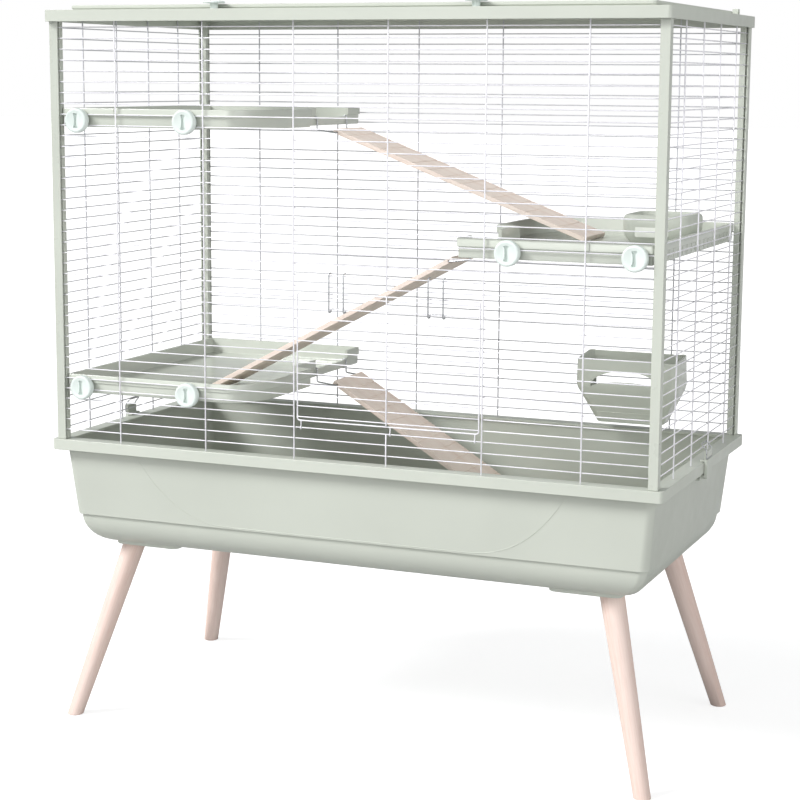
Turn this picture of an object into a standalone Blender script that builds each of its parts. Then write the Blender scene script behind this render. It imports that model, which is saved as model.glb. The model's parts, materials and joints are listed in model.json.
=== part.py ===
"""Small-pet cage on a deep tub with four splayed wooden legs: three shelf trays, three ramps, wire walls,
a drop-down front door, a hinged wire roof lid, a food bowl and a hay rack.

Metres, +Z up, front towards -Y. The origin is on the floor, under the middle of the cage.
"""

import math

import bmesh
import bpy
from mathutils import Vector

# Clearances
GAP = 0.0003
SLIDE_GAP = 0.0010

# Roundness of the meshes
SHARP_ANGLE = math.radians(35)
CORNER_STEPS = 3
SOFT_CORNER_STEPS = 4
ARC_STEPS = 8
BORE_SIDES = 12

# Cage body, measured over the outer faces of the corner posts
CAGE_WIDTH = 0.993
CAGE_DEPTH = 0.501
PANEL_HEIGHT = 0.6598

# Top frame and bottom frame, both plastic bands
TOP_OVERHANG_X = 0.0035
TOP_OVERHANG_Y = 0.0095
RIM_OVERHANG_X = 0.0085
RIM_OVERHANG_Y = 0.0035
BAND_HEIGHT = 0.0176
BAND_WALL = 0.0030
RIM_PLATE = 0.0040
RIM_PLATE_WIDTH = 0.0245
TOP_FLANGE = 0.0035
TOP_FLANGE_WIDTH = 0.0350
BAND_CORNER = 0.0060

# Legs
LEG_HEIGHT = 0.2830
LEG_FOOT_RADIUS = 0.0130
LEG_TOP_RADIUS = 0.0190
LEG_TOP_FROM_SIDE = 0.0885
LEG_TOP_FROM_FRONT = 0.0875
LEG_SPLAY_X = 0.0750
LEG_SPLAY_Y = 0.0740
LEG_SIDES = 24

# Tub
TUB_DEPTH = 0.1757
TUB_WALL = 0.0030
TUB_INSET = 0.0140
TUB_TAPER = 0.0115
TUB_STEP = 0.0040
TUB_LOWER_HEIGHT = 0.0532
TUB_BOTTOM_ROUND = 0.0450
TUB_BOTTOM_ROUND_Y = 0.0350
TUB_CORNER = 0.0140
PAD_HEIGHT = 0.0065
PAD_LENGTH = 0.1150
PAD_WIDTH = 0.0750
PAD_ROUND = 0.0120
PAD_MARGIN_X = 0.0030
PAD_MARGIN_Y = 0.0080
PAD_BLEND_HEIGHT = 0.0300
TUB_STEP_SLOPE = 0.0005

# Corner posts: a square channel with one slot for each wire panel
POST_SIZE = 0.0150
POST_LIP = 0.0145
SLOT_DEPTH = 0.0060
SLOT_WIDTH = 0.0028
PANEL_INSET = 0.0040

# Wire panels, and the bends of the bent wires
WIRE = 0.0020
WIRE_SIDES = 6
WIRE_BEND = 2.2
WIRE_BEND_SHARE = 0.45
TOP_WIRE_BELOW_BAND = 0.0088
WIRE_PITCH = 0.0167
ROWS_PER_MODEL_ROW = 3
FRONT_BAR_PITCH = 0.1525
SIDE_BAR_PITCH = 0.1040
FRONT_BARS = 6
SIDE_BARS = 4
LAST_ROW = 38

# Front door, hinged on one wire of the front panel
DOOR_BOTTOM_ROW = 36
DOOR_TOP_ROW = 23
DOOR_SIDE_GAP = 0.0040
DOOR_TOP_GAP = 0.0105
DOOR_BOTTOM_GAP = 0.0110
DOOR_FIRST_ROW = 25
DOOR_LAST_ROW = 34
DOOR_LOOP_INNER = 0.0016
DOOR_LOOP_OUTER = 0.0034
DOOR_LOOP_START = math.radians(90)
DOOR_LOOP_END = math.radians(330)
DOOR_LOOP_STEPS = 10
DOOR_LOOP_OFFSET = 0.0060
DOOR_LOOP_WIRE = 0.0018

# Door latches: bent wire bails that turn on a door wire and hook over the panel wire above the door
LATCH_WIRE_RADIUS = 0.0011
LATCH_WIDTH = 0.0260
LATCH_FIRST_X = -0.0050
LATCH_SPACING = 0.1600
LATCH_STAND_OFF = 0.0037
LATCH_HOOK_ROW = 22
LATCH_HOOK_RISE = 0.0036

# Shelf trays
SHELF_HEIGHT = 0.0290
SHELF_FLOOR = 0.0030
SHELF_WALL = 0.0030
SHELF_LIP = 0.0020
SHELF_LIP_HEIGHT = 0.0125
SHELF_SIDE_CLEARANCE = 0.0015
SHELF_REACH = 0.2960
SHELF_NOSE = 0.0370
SHELF_NOSE_ROUND_X = 0.0500
SHELF_NOSE_ROUND_Y = 0.0945
SHELF_NOSE_LENGTH = 0.1200
SHELF_NOSE_STEPS = 5
SHELF_NOSE_SLOPE = 0.0123
SHELF_DOORSTEP = 0.0100
SHELF_DOORSTEP_SIDE = 0.0080
UPPER_SHELF_ABOVE_RIM = 0.5271
MIDDLE_SHELF_ABOVE_RIM = 0.3483
LOWER_SHELF_ABOVE_RIM = 0.1061

# Shelf clamp knobs
KNOB_RADIUS = 0.0190
KNOB_THICKNESS = 0.0115
KNOB_BEVEL = 0.0015
KNOB_BELOW_SHELF_TOP = 0.0190
KNOB_SPACING = 0.1895
LEFT_KNOB_FROM_SIDE = 0.0490
RIGHT_KNOB_FROM_SIDE = 0.0410
KNOB_GRIP_WIDTH = 0.0045
KNOB_GRIP_LENGTH = 0.0230
KNOB_GRIP_END = 0.0080
KNOB_GRIP_DEPTH = 0.0040
BOLT_RADIUS = 0.0030
BOLT_LENGTH = 0.0150
BOLT_CLEARANCE = 0.0004
KNOB_SIDES = 24

# Ramps: wooden planks hung on a wire under the shelf edge
RAMP_WIDTH = 0.1140
RAMP_THICKNESS = 0.0070
RAMP_FROM_REAR = 0.0605
RAMP_END_GAP = 0.0270
RAMP_GROOVE_PITCH = 0.0300
RAMP_GROOVE_WIDTH = 0.0020
RAMP_GROOVE_DEPTH = 0.0012
UPPER_RAMP_RUN = 0.4360
MIDDLE_RAMP_RUN = 0.4220
LOWER_RAMP_RUN = 0.3815
RAMP_DROP = 0.0110
RAMP_FLOOR_GAP = 0.0006
HANGER_RADIUS = 0.00125
HANGER_CLEARANCE = 0.00055
HANGER_SIDE_GAP = 0.0027

# Food bowl on the middle shelf
BOWL_HALF = 0.0550
BOWL_HEIGHT = 0.0460
BOWL_CORNER = 0.0220
BOWL_WALL = 0.0028
BOWL_FOOT_INSET = 0.0090
BOWL_FOOT_HEIGHT = 0.0150
BOWL_RIM = 0.0042
BOWL_STEPS = 5
BOWL_X = 0.3950
BOWL_Y = 0.1200

# Hay rack on the rear panel
RACK_X = 0.3260
RACK_ABOVE_RIM = 0.0142
RACK_HEIGHT = 0.1075
RACK_BELLY = 0.0625
RACK_HALF_TOP = 0.0845
RACK_HALF_BELLY = 0.0865
RACK_HALF_FLOOR = 0.0560
RACK_DEPTH_TOP = 0.0790
RACK_DEPTH_BELLY = 0.0760
RACK_DEPTH_FLOOR = 0.0520
RACK_EAR = 0.0080
RACK_WALL = 0.0025
RACK_CORNER = 0.0120
RACK_MOUTH_HALF = 0.0540
RACK_MOUTH_BOTTOM = 0.0640
RACK_MOUTH_TOP = 0.0900
RACK_HOOK_SPACING = 0.0840
RACK_HOOK_WIDTH = 0.0100
RACK_HOOK_WALL = 0.0024
RACK_HOOK_DROP = 0.0080

# Roof lid, hinged at the rear of the top frame
LID_MARGIN_X = 0.0300
LID_MARGIN_Y = 0.0300
LID_THICKNESS = 0.0075
LID_CHAMFER = 0.0028
LID_BORDER = 0.0280
LID_LEDGE = 0.0060
LID_LEDGE_THICKNESS = 0.0030
LID_BARS_X = 6
LID_BARS_Y = 5
LID_PIN_RADIUS = 0.0025
LID_PIN_LENGTH = 0.0080
LID_LUG_HALF = 0.0065
LID_LUG_HEIGHT = 0.0110
LID_LUG_LENGTH = 0.0090

# Roof locks: turning caps on the front of the top frame
LOCK_X = 0.2100
LOCK_RADIUS = 0.0165
LOCK_FLAT = 0.0128
LOCK_FROM_FRONT = 0.0165
LOCK_CAP = 0.0040
LOCK_STEM_RADIUS = 0.0060
LOCK_STEPS = 20

# Side latches between the cage and the tub
CLIP_HALF_WIDTH = 0.0140
CLIP_THICKNESS = 0.0050
CLIP_HEIGHT = 0.0440
CLIP_FOOT = 0.0050
CLIP_PIVOT_INSET = 0.0065
CLIP_PIVOT_DROP = 0.0052
CLIP_HOOK_REACH = 0.0066
CLIP_HOOK_THICKNESS = 0.0030
CLIP_HOOK_LIFT = 0.0012
CLIP_GROOVE_DROP = 0.0125
CLIP_GROOVE = 0.0028
CLIP_PIN_RADIUS = 0.0020
CLIP_PIN_LENGTH = 0.0045
LUG_WIDTH = 0.0050
BAIL_RADIUS = 0.0010
BAIL_RISE = 0.0225
BAIL_LEAN = 0.0085

# Levels
PAD_Z = LEG_HEIGHT + GAP
TUB_TOP = PAD_Z + TUB_DEPTH
RIM_TOP = TUB_TOP + GAP + RIM_PLATE
PANEL_BOTTOM = RIM_TOP + GAP
BAND_BOTTOM = RIM_TOP + PANEL_HEIGHT
TOP_Z = BAND_BOTTOM + BAND_HEIGHT
PANEL_TOP = TOP_Z - TOP_FLANGE - GAP
TOP_WIRE = BAND_BOTTOM - TOP_WIRE_BELOW_BAND
TUB_FLOOR = PAD_Z + PAD_HEIGHT + TUB_WALL
UPPER_SHELF_TOP = RIM_TOP + UPPER_SHELF_ABOVE_RIM
MIDDLE_SHELF_TOP = RIM_TOP + MIDDLE_SHELF_ABOVE_RIM
LOWER_SHELF_TOP = RIM_TOP + LOWER_SHELF_ABOVE_RIM
RACK_FLOOR = RIM_TOP + RACK_ABOVE_RIM

# Half sizes
POST_X = CAGE_WIDTH / 2
POST_Y = CAGE_DEPTH / 2
TOP_X = POST_X + TOP_OVERHANG_X
TOP_Y = POST_Y + TOP_OVERHANG_Y
RIM_X = POST_X + RIM_OVERHANG_X
RIM_Y = POST_Y + RIM_OVERHANG_Y
PANEL_X = POST_X - PANEL_INSET
PANEL_Y = POST_Y - PANEL_INSET
SHELF_X = POST_X - POST_SIZE - SHELF_SIDE_CLEARANCE
SHELF_Y = PANEL_Y - WIRE / 2 - SLIDE_GAP
SHELF_EDGE = SHELF_X - SHELF_REACH


def clear_scene():
    for old in list(bpy.data.objects):
        bpy.data.objects.remove(old, do_unlink=True)


def material(name, colour, roughness, metallic=0.0):
    made = bpy.data.materials.new(name)
    made.use_nodes = True
    shader = made.node_tree.nodes["Principled BSDF"]
    shader.inputs["Base Color"].default_value = (*colour, 1.0)
    shader.inputs["Roughness"].default_value = roughness
    shader.inputs["Metallic"].default_value = metallic
    made.diffuse_color = (*colour, 1.0)
    return made


def add_object(name, mesh_data, paint, origin=(0.0, 0.0, 0.0), smooth=False):
    """An object from a bmesh in world coordinates, with its origin moved to the given point."""
    bmesh.ops.recalc_face_normals(mesh_data, faces=mesh_data.faces)
    bmesh.ops.translate(mesh_data, verts=mesh_data.verts, vec=-Vector(origin))
    mesh = bpy.data.meshes.new(name)
    mesh_data.to_mesh(mesh)
    mesh_data.free()
    mesh.materials.append(paint)
    if smooth:
        mesh.shade_smooth()
        mesh.set_sharp_from_angle(angle=SHARP_ANGLE)
    made = bpy.data.objects.new(name, mesh)
    made.location = origin
    bpy.context.scene.collection.objects.link(made)
    return made


def boolean(target, other, operation):
    other.hide_render = True
    other.display_type = "WIRE"
    modifier = target.modifiers.new(operation.lower(), "BOOLEAN")
    modifier.operation = operation
    modifier.object = other
    modifier.solver = "EXACT"


def ring_points(half_x, half_y, corner, steps, centre=(0.0, 0.0)):
    """A rectangle with round corners, anticlockwise from the right-hand side of the rear-right corner."""
    points = []
    for quarter, (sign_x, sign_y) in enumerate(((1, 1), (-1, 1), (-1, -1), (1, -1))):
        for step in range(steps + 1):
            angle = math.radians(90) * (quarter + step / steps)
            points.append(
                (
                    centre[0] + sign_x * (half_x - corner) + corner * math.cos(angle),
                    centre[1] + sign_y * (half_y - corner) + corner * math.sin(angle),
                )
            )
    return points


def circle_points(radius, sides, centre=(0.0, 0.0)):
    turns = [2 * math.pi * side / sides for side in range(sides)]
    return [(centre[0] + radius * math.cos(turn), centre[1] + radius * math.sin(turn)) for turn in turns]


def loft(rings, closed=False):
    """A closed body through rings of 3-D points with equal counts. An open loft is capped at both ends."""
    made = bmesh.new()
    levels = [[made.verts.new(point) for point in ring] for ring in rings]
    count = len(levels[0])
    pairs = list(zip(levels, levels[1:]))
    if closed:
        pairs.append((levels[-1], levels[0]))
    for lower, upper in pairs:
        for index in range(count):
            following = (index + 1) % count
            made.faces.new((lower[index], lower[following], upper[following], upper[index]))
    if not closed:
        made.faces.new(levels[0])
        made.faces.new(levels[-1])
    return made


def prism(outline, start, end, axis):
    """A 2-D outline pulled along one axis. Its coordinates are the other two axes, in alphabetical order."""
    def place(point, along):
        coordinates = list(point)
        coordinates.insert("XYZ".index(axis), along)
        return coordinates

    return loft([[place(point, start) for point in outline], [place(point, end) for point in outline]])


def box(low, high):
    outline = [(low[0], low[1]), (high[0], low[1]), (high[0], high[1]), (low[0], high[1])]
    return prism(outline, low[2], high[2], "Z")


def rounded(path, bend):
    """The path with each corner cut by a short curve that starts at most one bend from it."""
    points = [Vector(point) for point in path]
    smooth = [points[0]]
    for before, corner, after in zip(points, points[1:], points[2:]):
        back = before - corner
        ahead = after - corner
        start = corner + back.normalized() * min(bend, back.length * WIRE_BEND_SHARE)
        end = corner + ahead.normalized() * min(bend, ahead.length * WIRE_BEND_SHARE)
        smooth += [start, (start + end + 2 * corner) / 4, end]
    smooth.append(points[-1])
    return smooth


def tube(path, radius):
    """A round wire along a bent path, with flat ends."""
    points = rounded(path, radius * WIRE_BEND)
    directions = [(after - before).normalized() for before, after in zip(points, points[1:])]
    across = directions[0].orthogonal().normalized()
    rings = []
    for index, point in enumerate(points):
        before = directions[max(index - 1, 0)]
        after = directions[min(index, len(directions) - 1)]
        along = (before + after).normalized()
        across = (across - along * across.dot(along)).normalized()
        up = along.cross(across)
        turns = [2 * math.pi * side / WIRE_SIDES for side in range(WIRE_SIDES)]
        rings.append([point + (across * math.cos(turn) + up * math.sin(turn)) * radius for turn in turns])
    return loft(rings)


def merged(parts):
    """Several closed bodies in one mesh, for a cutter or for a union."""
    whole = bmesh.new()
    for part in parts:
        scratch = bpy.data.meshes.new("scratch")
        bmesh.ops.recalc_face_normals(part, faces=part.faces)
        part.to_mesh(scratch)
        part.free()
        whole.from_mesh(scratch)
        bpy.data.meshes.remove(scratch)
    return whole


def lattice(bars_u, bars_v, size_u, size_v, hole=None):
    """Flat wire lattice: its (u, v) breakpoints and the set of filled cells.

    bars_u and bars_v hold (low, high) of each upright and each cross wire. A hole is (u0, u1, v0, v1),
    kept free of wire.
    """
    def breaks(bars, size, extra):
        values = {size[0], size[1], *extra}
        for low, high in bars:
            values |= {low, high}
        return sorted(value for value in values if size[0] <= value <= size[1])

    us = breaks(bars_u, size_u, hole[:2] if hole else ())
    vs = breaks(bars_v, size_v, hole[2:] if hole else ())
    filled = set()
    for i in range(len(us) - 1):
        for j in range(len(vs) - 1):
            u = (us[i] + us[i + 1]) / 2
            v = (vs[j] + vs[j + 1]) / 2
            if hole and hole[0] < u < hole[1] and hole[2] < v < hole[3]:
                continue
            if any(low < u < high for low, high in bars_u) or any(low < v < high for low, high in bars_v):
                filled.add((i, j))
    return us, vs, filled


def lattice_body(cells, place, thickness):
    """A solid of one thickness over the filled cells. place(u, v, w) gives a point, w over the thickness."""
    us, vs, filled = cells
    made = bmesh.new()
    known = {}

    def vertex(i, j, side):
        key = (i, j, side)
        if key not in known:
            known[key] = made.verts.new(place(us[i], vs[j], side * thickness / 2))
        return known[key]

    for i, j in sorted(filled):
        corners = ((i, j), (i + 1, j), (i + 1, j + 1), (i, j + 1))
        made.faces.new([vertex(*corner, 1) for corner in corners])
        made.faces.new([vertex(*corner, -1) for corner in reversed(corners)])
        neighbours = ((i, j - 1), (i + 1, j), (i, j + 1), (i - 1, j))
        for edge, neighbour in enumerate(neighbours):
            if neighbour in filled:
                continue
            first = corners[edge]
            second = corners[(edge + 1) % 4]
            made.faces.new(
                (vertex(*first, -1), vertex(*second, -1), vertex(*second, 1), vertex(*first, 1))
            )
    return made


def row_z(row):
    return TOP_WIRE - WIRE_PITCH * row


def bar(centre):
    return (centre - WIRE / 2, centre + WIRE / 2)


def panel_rows(extra=()):
    """The rows modelled: the first, then every third, in step with the row over the door."""
    start = DOOR_TOP_ROW % ROWS_PER_MODEL_ROW
    rows = {0, *range(start, LAST_ROW + 1, ROWS_PER_MODEL_ROW), *extra}
    return [bar(row_z(row)) for row in sorted(rows)]


def spaced(count, pitch):
    return [pitch * (index - (count - 1) / 2) for index in range(count)]


# ---------------------------------------------------------------- materials


clear_scene()

SAGE = material("sage_plastic", (0.60, 0.64, 0.57), 0.38)
MINT = material("mint_plastic", (0.74, 0.83, 0.78), 0.42)
WHITE_WIRE = material("white_wire", (0.86, 0.86, 0.88), 0.35)
STEEL = material("bright_wire", (0.62, 0.63, 0.65), 0.28, 1.0)
WOOD = material("pale_wood", (0.87, 0.66, 0.53), 0.62)


# ---------------------------------------------------------------- legs


def make_leg(name, sign_x, sign_y):
    top = (sign_x * (POST_X - LEG_TOP_FROM_SIDE), sign_y * (POST_Y - LEG_TOP_FROM_FRONT))
    foot = (top[0] + sign_x * LEG_SPLAY_X, top[1] + sign_y * LEG_SPLAY_Y)
    rings = []
    for radius, centre, level in (
        (LEG_FOOT_RADIUS, foot, 0.0),
        (LEG_TOP_RADIUS, top, LEG_HEIGHT),
    ):
        rings.append([(*point, level) for point in circle_points(radius, LEG_SIDES, centre)])
    add_object(name, loft(rings), WOOD, (*top, LEG_HEIGHT), smooth=True)


for side_name, side_sign in (("left", -1), ("right", 1)):
    make_leg(f"leg_front_{side_name}", side_sign, -1)
    make_leg(f"leg_rear_{side_name}", side_sign, 1)


# ---------------------------------------------------------------- tub

CLIP_PIVOT_X = RIM_X - CLIP_PIVOT_INSET
CLIP_PIVOT_Z = RIM_TOP - BAND_HEIGHT - CLIP_PIVOT_DROP


def tub_rings(shrink, floor):
    """The tub's outline from its floor up to its top, moved in by a wall's thickness for the inside."""
    half_x = RIM_X - TUB_INSET - shrink
    half_y = RIM_Y - TUB_INSET - shrink
    step_z = PAD_Z + TUB_LOWER_HEIGHT
    lower_x = half_x - TUB_TAPER - TUB_STEP
    lower_y = half_y - TUB_TAPER - TUB_STEP
    rings = []
    for step in range(SOFT_CORNER_STEPS + 1):
        turn = math.radians(90) * step / SOFT_CORNER_STEPS
        inward = 1 - math.sin(turn)
        level = floor + (step_z - floor) * (1 - math.cos(turn))
        outline = ring_points(
            lower_x - TUB_BOTTOM_ROUND * inward,
            lower_y - TUB_BOTTOM_ROUND_Y * inward,
            TUB_CORNER,
            SOFT_CORNER_STEPS,
        )
        rings.append([(*point, level) for point in outline])
    outline = ring_points(lower_x + TUB_STEP, lower_y + TUB_STEP, TUB_CORNER, SOFT_CORNER_STEPS)
    rings.append([(*point, step_z + TUB_STEP_SLOPE) for point in outline])
    return rings, half_x, half_y


def make_tub():
    flange_bottom = TUB_TOP - TUB_WALL
    rings, half_x, half_y = tub_rings(0.0, PAD_Z + PAD_HEIGHT)
    flange_x = RIM_X - BAND_WALL - GAP
    flange_y = RIM_Y - BAND_WALL - GAP
    for x, y, corner, level in (
        (half_x, half_y, TUB_CORNER, flange_bottom),
        (flange_x, flange_y, BAND_CORNER, flange_bottom),
        (flange_x, flange_y, BAND_CORNER, TUB_TOP),
    ):
        outline = ring_points(x, y, corner, SOFT_CORNER_STEPS)
        rings.append([(*point, level) for point in outline])
    tub = add_object("tub", loft(rings), SAGE, smooth=True)

    pads = []
    for sign_x in (-1, 1):
        for sign_y in (-1, 1):
            centre = (
                sign_x * (POST_X - LEG_TOP_FROM_SIDE + LEG_TOP_RADIUS + PAD_MARGIN_X - PAD_LENGTH / 2),
                sign_y * (POST_Y - LEG_TOP_FROM_FRONT + LEG_TOP_RADIUS + PAD_MARGIN_Y - PAD_WIDTH / 2),
            )
            outline = ring_points(PAD_LENGTH / 2, PAD_WIDTH / 2, PAD_ROUND, CORNER_STEPS, centre)
            pads.append(prism(outline, PAD_Z, PAD_Z + PAD_BLEND_HEIGHT, "Z"))
    boolean(tub, add_object("cutter_tub_pads", merged(pads), SAGE), "UNION")

    inner, inner_x, inner_y = tub_rings(TUB_WALL, TUB_FLOOR)
    for level in (flange_bottom, TUB_TOP + TUB_WALL):
        outline = ring_points(inner_x, inner_y, TUB_CORNER, SOFT_CORNER_STEPS)
        inner.append([(*point, level) for point in outline])
    boolean(tub, add_object("cutter_tub_inside", loft(inner), SAGE), "DIFFERENCE")

    lugs = []
    bores = []
    for sign in (-1, 1):
        for end in (-1, 1):
            inner_face = end * (CLIP_HALF_WIDTH + SLIDE_GAP / 2)
            outer_face = inner_face + end * LUG_WIDTH
            xs = sorted((sign * (CLIP_PIVOT_X - CLIP_FOOT), sign * (flange_x - SLIDE_GAP / 2)))
            ys = sorted((inner_face, outer_face))
            lugs.append(
                box(
                    (xs[0], ys[0], CLIP_PIVOT_Z - CLIP_FOOT),
                    (xs[1], ys[1], flange_bottom + TUB_WALL / 2),
                )
            )
        outline = circle_points(CLIP_PIN_RADIUS + GAP, BORE_SIDES, (sign * CLIP_PIVOT_X, CLIP_PIVOT_Z))
        reach = CLIP_HALF_WIDTH + LUG_WIDTH * 2
        bores.append(prism(outline, -reach, reach, "Y"))
    boolean(tub, add_object("cutter_tub_lugs", merged(lugs), SAGE), "UNION")
    boolean(tub, add_object("cutter_tub_bores", merged(bores), SAGE), "DIFFERENCE")


make_tub()


# ---------------------------------------------------------------- frames and posts


def band_ring(half_x, half_y, profile):
    """A ring around the cage. The profile holds (distance in from the outer face, z), taken once around."""
    rings = []
    for inward, level in profile:
        corner = max(BAND_CORNER - inward, BAND_WALL / 2)
        outline = ring_points(half_x - inward, half_y - inward, corner, CORNER_STEPS)
        rings.append([(*point, level) for point in outline])
    return loft(rings, closed=True)


def make_bottom_frame():
    low = RIM_TOP - BAND_HEIGHT
    under = RIM_TOP - RIM_PLATE
    profile = (
        (0.0, low),
        (0.0, RIM_TOP),
        (RIM_PLATE_WIDTH, RIM_TOP),
        (RIM_PLATE_WIDTH, under),
        (BAND_WALL, under),
        (BAND_WALL, low),
    )
    add_object("bottom_frame", band_ring(RIM_X, RIM_Y, profile), SAGE)


LID_X = TOP_X - LID_MARGIN_X
LID_Y = TOP_Y - LID_MARGIN_Y
LID_BOTTOM = TOP_Z + GAP
LID_TOP = LID_BOTTOM + LID_THICKNESS
LID_AXIS_Y = LID_Y - LID_THICKNESS / 2
LID_AXIS_Z = LID_BOTTOM + LID_THICKNESS / 2 + GAP


def make_top_frame():
    under = TOP_Z - TOP_FLANGE
    profile = (
        (0.0, BAND_BOTTOM),
        (0.0, TOP_Z),
        (TOP_FLANGE_WIDTH, TOP_Z),
        (TOP_FLANGE_WIDTH, under),
        (BAND_WALL, under),
        (BAND_WALL, BAND_BOTTOM),
    )
    frame = add_object("top_frame", band_ring(TOP_X, TOP_Y, profile), SAGE)
    lugs = []
    bores = []
    for sign in (-1, 1):
        xs = sorted((sign * (LID_X + SLIDE_GAP), sign * (LID_X + SLIDE_GAP + LID_LUG_LENGTH)))
        lugs.append(
            box(
                (xs[0], LID_AXIS_Y - LID_LUG_HALF, TOP_Z - TOP_FLANGE / 2),
                (xs[1], LID_AXIS_Y + LID_LUG_HALF, TOP_Z + LID_LUG_HEIGHT),
            )
        )
        outline = circle_points(LID_PIN_RADIUS + GAP, BORE_SIDES, (LID_AXIS_Y, LID_AXIS_Z))
        bores.append(prism(outline, xs[0] - SLIDE_GAP, xs[1] + SLIDE_GAP, "X"))
    boolean(frame, add_object("cutter_lid_lugs", merged(lugs), SAGE), "UNION")
    boolean(frame, add_object("cutter_lid_bores", merged(bores), SAGE), "DIFFERENCE")


def make_post(name, sign_x, sign_y):
    slot_near = PANEL_INSET - SLOT_WIDTH / 2
    slot_far = PANEL_INSET + SLOT_WIDTH / 2
    slot_end = POST_SIZE - SLOT_DEPTH
    half = [
        (POST_LIP, 0.0),
        (POST_LIP, slot_near),
        (slot_end, slot_near),
        (slot_end, slot_far),
        (POST_SIZE, slot_far),
    ]
    outline = [(0.0, 0.0), *half, (POST_SIZE, POST_SIZE)]
    outline += [(v, u) for u, v in reversed(half)]
    placed = [(sign_x * (POST_X - u), sign_y * (POST_Y - v)) for u, v in outline]
    add_object(name, prism(placed, PANEL_BOTTOM, PANEL_TOP, "Z"), SAGE)


make_bottom_frame()
make_top_frame()
for side_name, side_sign in (("left", -1), ("right", 1)):
    make_post(f"post_front_{side_name}", side_sign, -1)
    make_post(f"post_rear_{side_name}", side_sign, 1)


# ---------------------------------------------------------------- wire panels and door

SLOT_REACH = POST_SIZE - SLOT_DEPTH + GAP
FRONT_SPAN = (-(POST_X - SLOT_REACH), POST_X - SLOT_REACH)
SIDE_SPAN = (-(POST_Y - SLOT_REACH), POST_Y - SLOT_REACH)
PANEL_SPAN = (PANEL_BOTTOM, PANEL_TOP)
FRONT_UPRIGHTS = spaced(FRONT_BARS, FRONT_BAR_PITCH)
DOOR_LEFT_BAR = FRONT_UPRIGHTS[2]
DOOR_RIGHT_BAR = FRONT_UPRIGHTS[4]
DOOR_MIDDLE_BAR = FRONT_UPRIGHTS[3]
DOOR_AXIS_Z = row_z(DOOR_BOTTOM_ROW)


def make_panels():
    fronts = [bar(x) for x in FRONT_UPRIGHTS]
    sides = [bar(y) for y in spaced(SIDE_BARS, SIDE_BAR_PITCH)]
    opening = (
        DOOR_LEFT_BAR + WIRE / 2,
        DOOR_RIGHT_BAR - WIRE / 2,
        row_z(DOOR_BOTTOM_ROW) + WIRE / 2,
        row_z(DOOR_TOP_ROW) - WIRE / 2,
    )
    front_rows = panel_rows((DOOR_BOTTOM_ROW,))
    front = lattice(fronts, front_rows, FRONT_SPAN, PANEL_SPAN, opening)
    add_object(
        "grille_front",
        lattice_body(front, lambda u, v, w: (u, w - PANEL_Y, v), WIRE),
        WHITE_WIRE,
    )
    rear = lattice(fronts, panel_rows(), FRONT_SPAN, PANEL_SPAN)
    add_object(
        "grille_rear",
        lattice_body(rear, lambda u, v, w: (u, w + PANEL_Y, v), WIRE),
        WHITE_WIRE,
    )
    side = lattice(sides, panel_rows(), SIDE_SPAN, PANEL_SPAN)
    for name, sign in (("grille_left", -1), ("grille_right", 1)):
        body = lattice_body(side, lambda u, v, w, s=sign: (w + s * PANEL_X, u, v), WIRE)
        add_object(name, body, WHITE_WIRE)


def loop_outline(centre_y, axis_z, top_z):
    """A hook around the hinge wire, seen from the side: a stem, then most of a ring."""
    sweep = DOOR_LOOP_END - DOOR_LOOP_START
    shares = [step / DOOR_LOOP_STEPS for step in range(DOOR_LOOP_STEPS + 1)]
    angles = [DOOR_LOOP_START + sweep * share for share in shares]
    outer = [
        (centre_y + DOOR_LOOP_OUTER * math.cos(turn), axis_z + DOOR_LOOP_OUTER * math.sin(turn))
        for turn in angles[1:]
    ]
    inner = [
        (centre_y + DOOR_LOOP_INNER * math.cos(turn), axis_z + DOOR_LOOP_INNER * math.sin(turn))
        for turn in reversed(angles)
    ]
    stem = [(centre_y + WIRE / 2, axis_z + DOOR_LOOP_INNER), (centre_y + WIRE / 2, top_z)]
    stem.append((centre_y - WIRE / 2, top_z))
    stem.append((centre_y - WIRE / 2, axis_z + DOOR_LOOP_OUTER))
    return [*outer, *inner, *stem]


def make_door():
    left = DOOR_LEFT_BAR + DOOR_SIDE_GAP + WIRE / 2
    right = DOOR_RIGHT_BAR - DOOR_SIDE_GAP - WIRE / 2
    bottom = row_z(DOOR_BOTTOM_ROW) + DOOR_BOTTOM_GAP
    top = row_z(DOOR_TOP_ROW) - DOOR_TOP_GAP
    uprights = [bar(x) for x in (left, DOOR_MIDDLE_BAR, right)]
    rows = range(DOOR_FIRST_ROW, DOOR_LAST_ROW + 1, ROWS_PER_MODEL_ROW)
    crosses = [bar(z) for z in (bottom, top, *(row_z(row) for row in rows))]
    cells = lattice(
        uprights,
        crosses,
        (left - WIRE / 2, right + WIRE / 2),
        (bottom - WIRE / 2, top + WIRE / 2),
    )
    origin = (DOOR_MIDDLE_BAR, -PANEL_Y, DOOR_AXIS_Z)
    door = add_object(
        "door",
        lattice_body(cells, lambda u, v, w: (u, w - PANEL_Y, v), WIRE),
        WHITE_WIRE,
        origin,
    )
    outline = loop_outline(-PANEL_Y, DOOR_AXIS_Z, bottom)
    half = DOOR_LOOP_WIRE / 2
    loops = [
        prism(outline, x - half, x + half, "X")
        for x in (left, DOOR_MIDDLE_BAR + DOOR_LOOP_OFFSET, right)
    ]
    boolean(door, add_object("cutter_door_loops", merged(loops), WHITE_WIRE), "UNION")


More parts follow.
